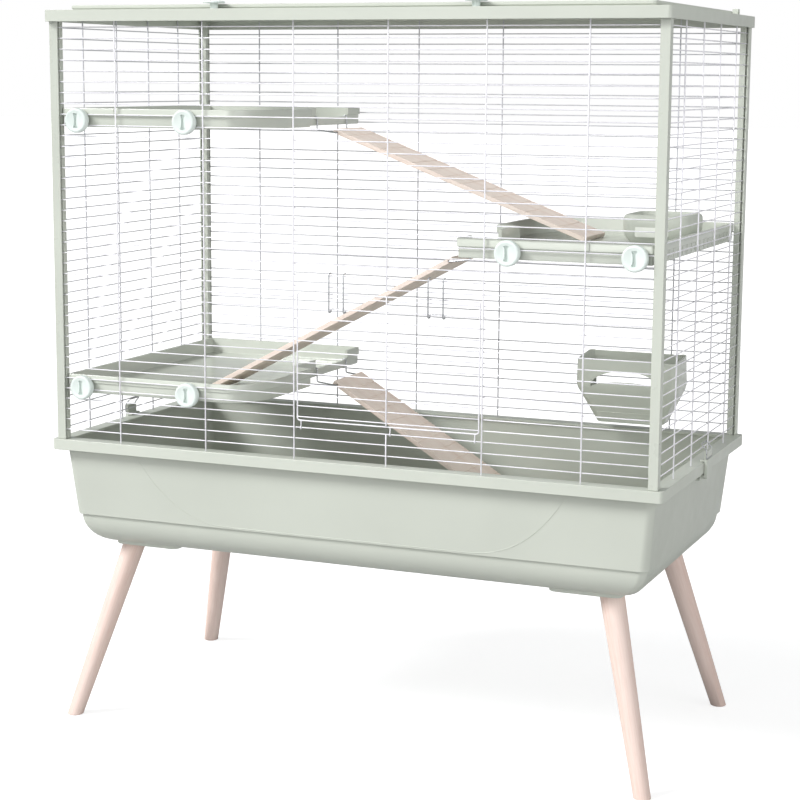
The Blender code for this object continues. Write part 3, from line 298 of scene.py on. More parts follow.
def bent(path, bend, steps=4):
    """A wire's centre line with round bends."""
    points = [Vector(point) for point in path]
    line = [points[0]]
    for before, corner, after in zip(points, points[1:], points[2:]):
        back = before - corner
        ahead = after - corner
        start = corner + back.normalized() * min(bend, back.length * 0.45)
        end = corner + ahead.normalized() * min(bend, ahead.length * 0.45)
        for step in range(steps + 1):
            share = step / steps
            line.append(start.lerp(corner, share).lerp(corner.lerp(end, share), share))
    line.append(points[-1])
    return line


def wire_into(made, line, radius, sides=8, closed=False):
    """A round wire along a line, with slightly rounded ends."""
    line = [Vector(point) for point in line]
    if closed:
        line = line + [line[0]]
    directions = [(after - before).normalized() for before, after in zip(line, line[1:])]
    across = directions[0].orthogonal().normalized()
    turns = [2 * math.pi * side / sides for side in range(sides)]
    rings = []

    def ring(point, along, size):
        up = along.cross(across)
        return [point + (across * math.cos(turn) + up * math.sin(turn)) * size for turn in turns]

    for index, point in enumerate(line):
        if closed:
            before = directions[index - 1] if index else directions[-1]
            after = directions[index % len(directions)]
        else:
            before = directions[max(index - 1, 0)]
            after = directions[min(index, len(directions) - 1)]
        along = (before + after).normalized()
        across = (across - along * across.dot(along)).normalized()
        if not closed and index == 0:
            rings.append(ring(point, along, radius * 0.6))
            point = point + along * radius * 0.4
        if not closed and index == len(line) - 1:
            rings.append(ring(point - along * radius * 0.4, along, radius))
            rings.append(ring(point, along, radius * 0.6))
            continue
        rings.append(ring(point, along, radius))
    if closed:
        rings = rings[:-1]
    return loft_into(made, rings, closed)


def clean_copy(node):
    """A CAD node's shape as a clean mesh, its flat faces joined up."""
    made = bmesh.new()
    made.from_mesh(frame["nodes"][node].data)
    bmesh.ops.remove_doubles(made, verts=made.verts, dist=0.00002)
    flat = math.radians(1.5)
    bmesh.ops.dissolve_limit(made, angle_limit=flat, verts=made.verts, edges=made.edges)
    return made


def link_object(name, mesh_data, paints, sharp):
    mesh = bpy.data.meshes.new(name)
    mesh_data.to_mesh(mesh)
    mesh_data.free()
    for paint in paints:
        mesh.materials.append(paint)
    mesh.shade_smooth()
    mesh.set_sharp_from_angle(angle=math.radians(sharp))
    made = bpy.data.objects.new(name, mesh)
    bpy.context.scene.collection.objects.link(made)
    return made


def stand_for(made, node):
    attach(made, BODY_OF[node])
    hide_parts(node)
    return made


def finish_piece(node, mesh_data, paint, rounds=0.0, matrix=None, sharp=38, more=()):
    """The finished piece that stands for one CAD node, with its edges rounded by a small bevel."""
    made = link_object(f"{node}_finished", mesh_data, (paint, *more), sharp)
    if matrix is not None:
        made.matrix_world = matrix
    if rounds:
        bevel = made.modifiers.new("edge_rounds", "BEVEL")
        bevel.width = rounds
        bevel.segments = 2
        bevel.limit_method = "ANGLE"
        bevel.angle_limit = math.radians(sharp)
        bevel.harden_normals = True
    return stand_for(made, node)


def carve(mesh_data, cutters):
    """The mesh after each (other mesh, operation) in turn, worked out with exact Booleans."""
    target = link_object("carve_target", mesh_data, (), 30)
    others = []
    for index, (other, operation) in enumerate(cutters):
        bmesh.ops.recalc_face_normals(other, faces=other.faces)
        tool = link_object(f"carve_tool_{index}", other, (), 30)
        modifier = target.modifiers.new(f"step_{index}", "BOOLEAN")
        modifier.operation = operation
        modifier.object = tool
        modifier.solver = "EXACT"
        others.append(tool)
    graph = bpy.context.evaluated_depsgraph_get()
    mesh = bpy.data.meshes.new_from_object(target.evaluated_get(graph))
    carved = bmesh.new()
    carved.from_mesh(mesh)
    bpy.data.meshes.remove(mesh)
    for other in (target, *others):
        bpy.data.objects.remove(other, do_unlink=True)
    return carved


# ------------------------------------------------------------------ shared sizes, in metres

GAP = 0.0003
RIM_X = 0.505
RIM_Y = 0.254
PANEL_X = 0.4925
PANEL_Y = 0.2465
TOP_WIRE = 1.1143
PITCH = 0.0167
LAST_ROW = 38
ROW_RADIUS = 0.0009
UPRIGHT_RADIUS = 0.00115
ROOF_WIRE_RADIUS = 0.001
UPRIGHT_OUT = 0.0017
FRONT_UPRIGHTS = [0.1525 * (index - 2.5) for index in range(6)]
SIDE_UPRIGHTS = [0.1040 * (index - 1.5) for index in range(4)]
DOOR_ROWS = range(24, 36)
ROW_OVER_DOOR = 23
HINGE_ROW = 36
DOOR_SPAN = (FRONT_UPRIGHTS[2], FRONT_UPRIGHTS[4])


def row_z(row):
    return TOP_WIRE - PITCH * row


# ------------------------------------------------------------------ wire panels and door


def straight_into(made, start, end, radius, sway=0.0002):
    """One straight wire, with the slight bow that a welded wire has."""
    start = Vector(start)
    end = Vector(end)
    middle = (start + end) / 2
    middle += Vector([chance.uniform(-sway, sway) for _ in range(3)])
    wire_into(made, (start, middle, end), radius)


def make_wall(node, axis, plane, outward, uprights, paint):
    """A wall of cross wires with the uprights welded on their outside. axis is the wall's normal, X or Y."""
    low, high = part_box(node)
    across = 1 if axis == "X" else 0
    made = bmesh.new()

    def point(along, out, z):
        place = [0.0, 0.0, z]
        place[across] = along
        place[1 - across] = plane + out
        return place

    for along in uprights:
        in_door = node == "grille_front" and DOOR_SPAN[0] < along < DOOR_SPAN[1]
        parts = ((low[2], row_z(HINGE_ROW)), (row_z(ROW_OVER_DOOR), high[2]))
        spans = parts if in_door else ((low[2], high[2]),)
        for bottom, top in spans:
            out = outward * UPRIGHT_OUT
            straight_into(made, point(along, out, bottom), point(along, out, top), UPRIGHT_RADIUS)
    for row in range(LAST_ROW + 1):
        cut = node == "grille_front" and row in DOOR_ROWS
        ends = ((low[across], DOOR_SPAN[0]), (DOOR_SPAN[1], high[across]))
        spans = ends if cut else ((low[across], high[across]),)
        for start, end in spans:
            straight_into(made, point(start, 0.0, row_z(row)), point(end, 0.0, row_z(row)), ROW_RADIUS)
    finish_piece(node, made, paint, sharp=60)


def make_door():
    """The door's bent outer wire, its cross wires, its upright and three loops round the hinge wire."""
    low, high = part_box("door")
    hinge_z = row_z(HINGE_ROW)
    hinge_reach = 0.0023
    loop_radius = 0.0008
    loop_offset = 0.006
    bottom = hinge_z + 0.011
    radius = UPRIGHT_RADIUS
    left = low[0] + radius
    right = high[0] - radius
    top = high[2] - radius
    corners = [(left, -PANEL_Y, bottom), (right, -PANEL_Y, bottom)]
    corners += [(right, -PANEL_Y, top), (left, -PANEL_Y, top)]
    loop = bent([corners[-1], *corners, corners[0]], 0.005)[1:-1]
    made = bmesh.new()
    wire_into(made, loop, radius, closed=True)
    middle = FRONT_UPRIGHTS[3]
    for row in DOOR_ROWS:
        straight_into(made, (left, -PANEL_Y, row_z(row)), (right, -PANEL_Y, row_z(row)), ROW_RADIUS)
    front = -PANEL_Y - UPRIGHT_OUT
    straight_into(made, (middle, front, bottom - 0.001), (middle, front, top + 0.001), radius)
    for x in (left + loop_offset, middle + loop_offset, right - loop_offset):
        turns = [math.radians(90 + 24 * step) for step in range(11)]
        hook = [(x, -PANEL_Y, bottom)]
        for turn in turns:
            y = -PANEL_Y + hinge_reach * math.cos(turn)
            hook.append((x, y, hinge_z + hinge_reach * math.sin(turn)))
        wire_into(made, hook, loop_radius)
    finish_piece("door", made, WHITE_WIRE, sharp=60)


def make_door_latch(node, x):
    """A bent bail: curled tips over the wire above the door, two legs and a foot under a door wire."""
    pivot = row_z(25)
    hook = row_z(22) + 0.0036
    front = -PANEL_Y - 0.0037
    back = -PANEL_Y + 0.0037
    foot = pivot - 0.0048
    half_width = 0.0119
    wire_radius = 0.0011
    side = [
        (back - 0.0012, hook + 0.0016),
        (back - 0.0003, hook),
        (front, hook),
        (front, foot),
        (back, foot),
        (back, pivot),
    ]
    path = [(x - half_width, y, z) for y, z in side]
    path += [(x + half_width, y, z) for y, z in reversed(side)]
    made = bmesh.new()
    wire_into(made, bent(path, 0.0026), wire_radius, 10)
    finish_piece(node, made, STEEL, sharp=60)


# The rear and left walls take the darker wire as painted shade; the front and right walls take the wire's
# own white.
make_wall("grille_rear", "Y", PANEL_Y, 1, FRONT_UPRIGHTS, PAINTED_SHADE_WIRE)
make_wall("grille_left", "X", -PANEL_X, -1, SIDE_UPRIGHTS, PAINTED_SHADE_WIRE)
make_wall("grille_right", "X", PANEL_X, 1, SIDE_UPRIGHTS, WHITE_WIRE)
make_wall("grille_front", "Y", -PANEL_Y, -1, FRONT_UPRIGHTS, WHITE_WIRE)
make_door()
make_door_latch("door_latch_left", -0.005)
make_door_latch("door_latch_right", 0.155)


# ------------------------------------------------------------------ tub

TUB_STEP_Z = 0.3365
TUB_TOP = 0.459
TUB_BOTTOM = 0.2898
TUB_WALL = 0.003
TUB_CORNER = 0.014
TUB_INSET = 0.0140
TUB_TAPER = 0.0115
TUB_STEP = 0.004
ROUNDED_BOTTOM = (0.045, 0.035)
FLANGE_CORNER = 0.006
PAD_CENTRE = (0.3725, 0.1525)
PAD_HALF = (0.0575, 0.0375)
PAD_CORNER = 0.012
PAD_LEVELS = ((0.0012, 0.2833), (0.0, 0.2845), (0.0, 0.3120), (0.0012, 0.3133))
LUG_BORE = (0.4985, 0.4405)
LUG_BORE_RADIUS = 0.0023
SMILE_HALF = 0.358
SMILE_LEVEL_HALF = 0.19
SMILE_RISE = 0.1
SMILE_POWER = 2.6


def tub_rings(shrink, floor):
    """The tub's outline from its floor up to its step, moved in by a wall for the inside."""
    half_x = RIM_X - TUB_INSET - shrink
    half_y = RIM_Y - TUB_INSET - shrink
    lower_x = half_x - TUB_TAPER - TUB_STEP
    lower_y = half_y - TUB_TAPER - TUB_STEP
    rings = []
    steps = 12
    for step in range(steps + 1):
        turn = math.radians(90) * step / steps
        inward = 1 - math.sin(turn)
        level = floor + (TUB_STEP_Z - floor) * (1 - math.cos(turn))
        plan_x = lower_x - ROUNDED_BOTTOM[0] * inward
        plan_y = lower_y - ROUNDED_BOTTOM[1] * inward
        plan = ring_points(plan_x, plan_y, TUB_CORNER, 12)
        rings.append([(*point, level) for point in plan])
    for out, level in ((TUB_STEP - 0.0006, TUB_STEP_Z + 0.0003), (TUB_STEP, TUB_STEP_Z + 0.0009)):
        plan = ring_points(lower_x + out, lower_y + out, TUB_CORNER, 12)
        rings.append([(*point, level) for point in plan])
    return rings, half_x, half_y


def smile_line():
    """The raised line on the tub's front wall. It falls from the rim, runs along the step and rises."""
    line = []
    for step in range(-60, 61):
        x = SMILE_HALF * step / 60
        rise = max(0.0, (abs(x) - SMILE_LEVEL_HALF) / (SMILE_HALF - SMILE_LEVEL_HALF)) ** SMILE_POWER
        z = TUB_STEP_Z + 0.0035 + SMILE_RISE * rise
        share = (z - TUB_STEP_Z) / (TUB_TOP - TUB_WALL - TUB_STEP_Z)
        line.append((x - 0.001, -(RIM_Y - TUB_INSET - TUB_TAPER * (1 - share)), z))
    return line


def make_tub():
    """The shell with its flange, its four leg pads and the bored lugs that carry the side levers."""
    flange = TUB_TOP - TUB_WALL
    flange_x = RIM_X - TUB_WALL - GAP
    flange_y = RIM_Y - TUB_WALL - GAP
    rings, half_x, half_y = tub_rings(0.0, TUB_BOTTOM)
    for x, y, corner, level in (
        (half_x, half_y, TUB_CORNER, flange),
        (flange_x, flange_y, FLANGE_CORNER, flange),
        (flange_x, flange_y, FLANGE_CORNER, TUB_TOP),
    ):
        rings.append([(*point, level) for point in ring_points(x, y, corner, 12)])
    shell = loft(rings)

    pads = bmesh.new()
    for sign_x in (-1, 1):
        for sign_y in (-1, 1):
            centre = (sign_x * PAD_CENTRE[0], sign_y * PAD_CENTRE[1])
            rings = []
            for inset, level in PAD_LEVELS:
                plan = ring_points(PAD_HALF[0] - inset, PAD_HALF[1] - inset, PAD_CORNER, 6, centre)
                rings.append([(*point, level) for point in plan])
            loft_into(pads, rings)

    inner, inner_x, inner_y = tub_rings(TUB_WALL, TUB_BOTTOM + TUB_WALL)
    for level in (flange, TUB_TOP + TUB_WALL):
        inner.append([(*point, level) for point in ring_points(inner_x, inner_y, TUB_CORNER, 12)])

    lugs = bmesh.new()
    bores = bmesh.new()
    for sign in (-1, 1):
        for end in (-1, 1):
            xs = sorted((sign * 0.4935, sign * (flange_x - 0.0005)))
            ys = sorted((end * 0.0145, end * 0.0195))
            box_into(lugs, (xs[0], ys[0], 0.4355), (xs[1], ys[1], flange + TUB_WALL / 2))
        bore = circle_points(LUG_BORE_RADIUS, 24, (sign * LUG_BORE[0], LUG_BORE[1]))
        prism_into(bores, bore, -0.024, 0.024, "Y")
    steps = ((pads, "UNION"), (loft(inner), "DIFFERENCE"), (lugs, "UNION"), (bores, "DIFFERENCE"))
    made = carve(shell, steps)
    wire_into(made, smile_line(), 0.0005, 6)
    finish_piece("tub", made, SAGE, sharp=32)


make_tub()


# ------------------------------------------------------------------ bands, posts, roof


def make_lock(node, x):
    """A turning cap with a flat side, a domed edge and a grip ridge."""
    low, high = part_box(node)
    y = -0.2435
    radius = 0.0165
    half_angle = math.acos(0.0128 / radius)
    steps = 48
    sweep = 2 * math.pi - 2 * half_angle
    turns = [math.radians(90) + half_angle + sweep * step / steps for step in range(steps + 1)]

    def ring(size, z):
        return [(x + size * math.cos(turn), y + size * math.sin(turn), z) for turn in turns]

    top = high[2]
    made = loft(
        [
            ring(0.006, low[2]),
            ring(0.006, top - 0.004),
            ring(radius - 0.0006, top - 0.004),
            ring(radius, top - 0.0033),
            ring(radius, top - 0.0022),
            ring(radius - 0.0007, top - 0.0012),
            ring(radius - 0.0025, top - 0.0009),
        ]
    )
    box_into(made, (x - 0.010, y - 0.0014, top - 0.0012), (x + 0.010, y + 0.0014, top))
    finish_piece(node, made, MINT, 0.0003, sharp=40)


def make_roof_grille():
    """A loop of wire with cross wires at the walls' pitch, and uprights just under them."""
    low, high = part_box("roof_grille")
    level = (low[2] + high[2]) / 2
    made = bmesh.new()
    edge = ROOF_WIRE_RADIUS
    frame_line = [
        (low[0] + edge, low[1] + edge, level),
        (high[0] - edge, low[1] + edge, level),
        (high[0] - edge, high[1] - edge, level),
        (low[0] + edge, high[1] - edge, level),
    ]
    loop = bent([frame_line[-1], *frame_line, frame_line[0]], 0.003)[1:-1]
    wire_into(made, loop, ROOF_WIRE_RADIUS, closed=True)
    rows = round((high[1] - low[1]) / PITCH)
    for row in range(1, rows):
        y = low[1] + (high[1] - low[1]) * row / rows
        straight_into(made, (low[0] + edge, y, level), (high[0] - edge, y, level), ROW_RADIUS)
    for x in FRONT_UPRIGHTS:
        height = level - 0.0001
        straight_into(made, (x, low[1] + edge, height), (x, high[1] - edge, height), ROOF_WIRE_RADIUS)
    finish_piece("roof_grille", made, WHITE_WIRE, sharp=60)


for frame_name in ("bottom_frame", "top_frame"):
    finish_piece(frame_name, clean_copy(frame_name), SAGE_BAND, 0.0009)
for post_name in ("post_front_left", "post_front_right", "post_rear_left", "post_rear_right"):
    finish_piece(post_name, clean_copy(post_name), SAGE_POST, 0.0006)
finish_piece("roof_lid", clean_copy("roof_lid"), SAGE_BAND, 0.0007)
make_roof_grille()
make_lock("roof_lock_left", -0.21)
make_lock("roof_lock_right", 0.21)


# ------------------------------------------------------------------ shelves and knobs

SHELF_X = 0.480
SHELF_Y = 0.2445
SHELF_EDGE = 0.184
SHELF_NOSE = 0.037
SHELF_HEIGHT = 0.029
SHELF_FLOOR = 0.003
SHELF_LIP = 0.002
SHELF_WALL = 0.003
LIP_HEIGHT = 0.0125
RAMP_WIDTH = 0.114
RAMP_REAR = SHELF_Y - 0.0605
UPPER_TOP = 0.9904
MIDDLE_TOP = 0.8116
LOWER_TOP = 0.5694
SHELVES = (("upper", UPPER_TOP, 1), ("middle", MIDDLE_TOP, -1), ("lower", LOWER_TOP, 1))
NOSE_CURVE = (0.050, 0.0945)
NOSE_LENGTH = 0.120
NOSE_STEP = 0.0123
CORNER_STEPS = 4
SEAM_X = 0.386
SEAM_HALF = (0.0006, 0.0008)
RIBS = range(-8, 9)
RIB_PITCH = 0.026
RIB_HALF = 0.0007
RIB_OUT = 0.0007
STACKING_RINGS = ((-0.16, 0.0, 0.16), (0.012, 0.020))


def shelf_plan(inset, sign):
    """Plan of a tray, moved in by an inset. A sign of -1 turns it half round."""
    edge = -SHELF_EDGE - inset
    nose = -SHELF_EDGE + SHELF_NOSE - inset
    front = -SHELF_Y + inset
    rear = SHELF_Y - inset
    outer = -SHELF_X + inset
    plan = [(edge, rear), (outer, rear), (outer, front)]
    centre = (nose - NOSE_CURVE[0] + inset, -SHELF_Y + NOSE_CURVE[1])
    steps = 16
    arc = []
    for step in range(steps + 1):
        turn = math.radians(90) * step / steps
        x = centre[0] + (NOSE_CURVE[0] - inset) * math.sin(turn)
        y = centre[1] - (NOSE_CURVE[1] - inset) * math.cos(turn)
        arc.append((x, y))
    nose_end = centre[1] + NOSE_LENGTH - inset
    tail = [(nose, nose_end), (edge, nose_end + NOSE_STEP)]
    per_corner = CORNER_STEPS + 1
    corners = round_corners([*plan, arc[0]], max(0.0045 - inset * 0.6, 0.0008), CORNER_STEPS)
    head = corners[: 3 * per_corner]
    tail_line = [arc[-1], *tail, (edge, rear)]
    turned_tail = round_corners(tail_line, max(0.004 - inset * 0.4, 0.0008), CORNER_STEPS)
    body = [*head, *arc, *turned_tail[per_corner : 3 * per_corner]]
    return [(sign * x, sign * y) for x, y in body]


def make_shelf(level_name, top, sign):
    """A tray with a rolled lip, a low mouth where its ramp hangs, parting lines, ribs and stacking rings."""
    bottom = top - SHELF_HEIGHT
    floor = bottom + SHELF_FLOOR
    lip = top - LIP_HEIGHT
    wall = SHELF_LIP + SHELF_WALL
    levels = (
        (SHELF_LIP + 0.0015, bottom),
        (SHELF_LIP + 0.0004, bottom + 0.0004),
        (SHELF_LIP, bottom + 0.0015),
        (SHELF_LIP, lip - 0.0002),
        (0.0004, lip),
        (0.0, lip + 0.0005),
        (0.0, top - 0.0012),
        (0.0004, top - 0.0004),
        (0.0012, top),
        (wall - 0.0010, top),
        (wall - 0.0002, top - 0.0004),
        (wall, top - 0.0012),
        (wall + 0.0008, floor + 0.0035),
        (wall + 0.0022, floor + 0.0010),
        (wall + 0.0050, floor),
    )
    rings = [[(*point, z) for point in shelf_plan(inset, sign)] for inset, z in levels]
    shell = loft(rings)

    xs = sorted((sign * (-SHELF_EDGE - wall - 0.002), sign * (-SHELF_EDGE + 0.001)))
    rear = RAMP_REAR + 0.008
    ys = sorted((sign * rear, sign * (rear - RAMP_WIDTH - 0.016)))
    mouth = bmesh.new()
    box_into(mouth, (xs[0], ys[0], floor + 0.010), (xs[1], ys[1], top + 0.01))
    seams = bmesh.new()
    seam_x = sign * -SEAM_X
    side_y = -SHELF_Y if sign == 1 else SHELF_Y
    for x, y in ((seam_x, side_y), (seam_x, -side_y)):
        low = (x - SEAM_HALF[0], y - SEAM_HALF[1], bottom - 0.001)
        box_into(seams, low, (x + SEAM_HALF[0], y + SEAM_HALF[1], top + 0.001))
    made = carve(shell, ((mouth, "DIFFERENCE"), (seams, "DIFFERENCE")))

    side_x = sign * -(SHELF_X - SHELF_LIP)
    for rib in RIBS:
        y = RIB_PITCH * rib
        xs = sorted((side_x, side_x - sign * RIB_OUT))
        box_into(made, (xs[0] - 0.0002, y - RIB_HALF, bottom + 0.001), (xs[1], y + RIB_HALF, lip))
    ring_ys, ring_radii = STACKING_RINGS
    for ring_y in ring_ys:
        centre = (sign * -0.33, ring_y)
        for ring_radius in ring_radii:
            circle = circle_points(ring_radius, 32, centre)
            wire_into(made, [(*point, bottom + 0.0002) for point in circle], 0.0005, 6, True)
    finish_piece(f"shelf_{level_name}", made, SAGE_TRAY, sharp=34)


def make_knob(node):
    """A round grip with a waisted finger slot, a rounded edge and a threaded bolt behind it."""
    low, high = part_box(node)
    x = (low[0] + high[0]) / 2
    z = (low[2] + high[2]) / 2
    front = low[1]
    back = front + 0.0115
    bolt_radius = 0.003
    thread_pitch = 0.0035
    profile = [
        (bolt_radius, high[1]),
        (bolt_radius, back),
        (0.0178, back),
        (0.0186, back - 0.0005),
        (0.0190, back - 0.0016),
        (0.0190, front + 0.0026),
        (0.0187, front + 0.0013),
        (0.0180, front + 0.0005),
        (0.0168, front + 0.0001),
        (0.0150, front),
        (0.0142, front + 0.0004),
    ]
    rings = []
    for radius, y in profile:
        rings.append([(px, y, pz) for px, pz in circle_points(radius, 56, (x, z))])
    disc = loft(rings)
    half = [(0.0, -0.0115), (0.0034, -0.0112), (0.0042, -0.0098), (0.0026, -0.0066), (0.0021, 0.0)]
    half += [(u, -v) for u, v in reversed(half[1:-1])]
    plan = [(x + u, z + v) for u, v in half] + [(x, z + 0.0115)]
    plan += [(x - u, z + v) for u, v in reversed(half[1:])]
    slot = bmesh.new()
    prism_into(slot, plan, front - 0.001, front + 0.0042, "Y")
    made = carve(disc, ((slot, "DIFFERENCE"),))
    for turn in range(3):
        line = []
        for step in range(25):
            angle = 2 * math.pi * step / 24
            y = back + 0.002 + thread_pitch * (turn + step / 24)
            line.append((x + bolt_radius * math.cos(angle), y, z + bolt_radius * math.sin(angle)))
        wire_into(made, line, 0.0003, 5)
    finish_piece(node, made, MINT, 0.0004, sharp=42)


for shelf_name, shelf_top, shelf_sign in SHELVES:
    make_shelf(shelf_name, shelf_top, shelf_sign)
    make_knob(f"knob_{shelf_name}_left")
    make_knob(f"knob_{shelf_name}_right")


# ------------------------------------------------------------------ ramps and their hangers

RAMP_THICKNESS = 0.007
TRAY_DOWN = SHELF_HEIGHT - SHELF_FLOOR
RAMPS = (
    ("upper", MIDDLE_TOP - TRAY_DOWN, 0.436, 1, UPPER_TOP),
    ("middle", LOWER_TOP - TRAY_DOWN, 0.422, -1, MIDDLE_TOP),
    ("lower", TUB_BOTTOM + TUB_WALL, 0.3815, 1, LOWER_TOP),
)
TREAD_PITCH = 0.030
TREAD_GROOVE = ((0.0012, 0.0), (0.0006, 0.0012), (-0.0006, 0.0012), (-0.0012, 0.0))
NOTCH_HALF = 0.0018
NOTCH_DEPTH = 0.0043
BAR_ALONG = 0.007
BAR_UP = 0.0025
HANGER_RADIUS = 0.00122


def make_ramp(level_name, floor, run, sign, shelf_top):
    """A plank with worn, rounded edges and sawn treads across it, and the bent wire that carries it."""
    start_x = -SHELF_EDGE + 0.027
    start_z = shelf_top - SHELF_HEIGHT - 0.011
    fall = start_z - floor - 0.0006
    length = math.hypot(run, fall)
    slope = math.atan2(fall, run)
    notch_start = BAR_ALONG - NOTCH_HALF
    notch_end = BAR_ALONG + NOTCH_HALF
    outline = [(0.0, 0.0), (notch_start, 0.0), (notch_start, NOTCH_DEPTH)]
    outline += [(notch_end, NOTCH_DEPTH), (notch_end, 0.0), (length, 0.0), (length, RAMP_THICKNESS)]
    grooves = int((length - TREAD_PITCH) / TREAD_PITCH)
    for groove in range(grooves, 0, -1):
        middle = groove * TREAD_PITCH
        for along, depth in TREAD_GROOVE:
            outline.append((middle + along, RAMP_THICKNESS - depth))
    outline.append((0.0, RAMP_THICKNESS))
    half = RAMP_WIDTH / 2
    made = bmesh.new()
    prism_into(made, outline, -half, half, "Y")
    middle_y = sign * (RAMP_REAR - half)
    turned = Matrix.Rotation(0.0 if sign == 1 else math.pi, 4, "Z")
    place = Matrix.Translation((sign * start_x, middle_y, start_z))
    matrix = place @ turned @ Matrix.Rotation(slope, 4, "Y")
    finish_piece(f"ramp_{level_name}", made, WOOD_X, 0.0007, matrix, sharp=50)

    along = Vector((run / length, -fall / length))
    up = Vector((fall / length, run / length))
    bar = along * BAR_ALONG + up * BAR_UP
    bar_x = sign * (start_x + bar[0])
    bar_z = start_z + bar[1]
    rim_outer = -SHELF_EDGE - SHELF_LIP
    rim_inner = rim_outer - SHELF_WALL
    rim_z = shelf_top - SHELF_HEIGHT + SHELF_FLOOR + 0.010
    clear = 0.0018
    side = [
        (sign * (rim_inner - clear), rim_z - 0.005),
        (sign * (rim_inner - clear), rim_z + clear),
        (sign * (rim_outer + clear), rim_z + clear),
        (sign * (rim_outer + clear), bar_z + 0.00375),
        (bar_x, bar_z),
    ]
    reach = half + 0.0027
    path = [(x, middle_y - reach, z) for x, z in side]
    path += [(x, middle_y + reach, z) for x, z in reversed(side)]
    hanger = bmesh.new()
    wire_into(hanger, bent(path, 0.003), HANGER_RADIUS, 10)
    finish_piece(f"ramp_hanger_{level_name}", hanger, STEEL, sharp=60)


for ramp_values in RAMPS:
    make_ramp(*ramp_values)


# ------------------------------------------------------------------ bowl and hay rack


def make_bowl():
    """A low round-cornered bowl with a rolled rim, a waisted foot and a flat panel on its front, painted
    pale and glossy as a highlight.
    """
    low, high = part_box("bowl")
    centre = ((low[0] + high[0]) / 2, (low[1] + high[1]) / 2)
    half = (high[0] - low[0]) / 2
    bottom = low[2]
    top = high[2]
    levels = (
        (half - 0.0105, 0.018, bottom),
        (half - 0.0090, 0.019, bottom + 0.0015),
        (half - 0.0030, 0.021, bottom + 0.0100),
        (half - 0.0006, 0.022, bottom + 0.0200),
        (half, 0.022, bottom + 0.0300),
        (half - 0.0004, 0.022, top - 0.0060),
        (half - 0.0022, 0.021, top - 0.0022),
        (half - 0.0048, 0.019, top - 0.0005),
        (half - 0.0070, 0.017, top),
        (half - 0.0086, 0.016, top - 0.0006),
        (half - 0.0092, 0.015, top - 0.0020),
        (half - 0.0095, 0.015, bottom + 0.0190),
        (half - 0.0130, 0.013, bottom + 0.0065),
        (half - 0.0180, 0.012, bottom + 0.0034),
        (half - 0.0240, 0.010, bottom + 0.0030),
    )
    rings = []
    for size, corner, level in levels:
        rings.append([(*point, level) for point in ring_points(size, size, corner, 10, centre)])
    made = loft(rings)
    panel = []
    panel_centre = (centre[0] - 0.004, bottom + 0.0235)
    panel_half = (0.027, 0.0125)
    panel_corner = 0.004
    for inset, out in ((0.0, -0.0008), (0.0, 0.0), (0.0006, 0.0004)):
        reach = (panel_half[0] - inset, panel_half[1] - inset)
        outline = ring_points(*reach, panel_corner, 5, panel_centre)
        panel.append([(x, centre[1] - half + 0.0006 - out, z) for x, z in outline])
    # The panel's faces get the painted highlight plastic.
    for face in loft_into(made, panel):
        face.material_index = 1
    finish_piece("bowl", made, SAGE, sharp=50, more=(PAINTED_HIGHLIGHT_PATCH,))


RACK_X = 0.326
RACK_WALL = 0.0025
RACK_CORNER = 0.012
EAR_REACH = 0.030
EAR_RISE = 0.008
# Half width, depth and rise of the rack at each level, from its foot to its top.
RACK_FOOT = (0.056, 0.052, 0.0)
RACK_KNEE = (0.0760, 0.0665, 0.040)
RACK_FLARE = (0.0845, 0.0750, 0.058)
RACK_WIDEST = (0.0865, 0.0765, 0.066)
RACK_TOP = (0.0845, 0.0790, 0.1075)
WINDOW_X = (0.254, 0.352)
WINDOW_RISE = (0.046, 0.084)
HOOK_ROW = 32
HOOK_OFFSET = 0.042
HOOK_HALF = 0.005
HOOK_WALL = 0.0024


def rack_ring(shrink, half, depth, level, ears=0.0):
    """One level of the rack, its back against the rear wall. The two rear corners can rise as ears."""
    back = SHELF_Y - shrink
    front = SHELF_Y - depth + shrink
    middle = (RACK_X, (back + front) / 2)
    outline = ring_points(half - shrink, (back - front) / 2, RACK_CORNER - shrink, 8, middle)
    points = []
    for x, y in outline:
        share = min(1.0, max(0.0, (y - back + EAR_REACH) / EAR_REACH))
        near_side = min(1.0, max(0.0, (abs(x - RACK_X) - half + shrink + EAR_REACH) / EAR_REACH))
        points.append((x, y, level + ears * share * near_side))
    return points


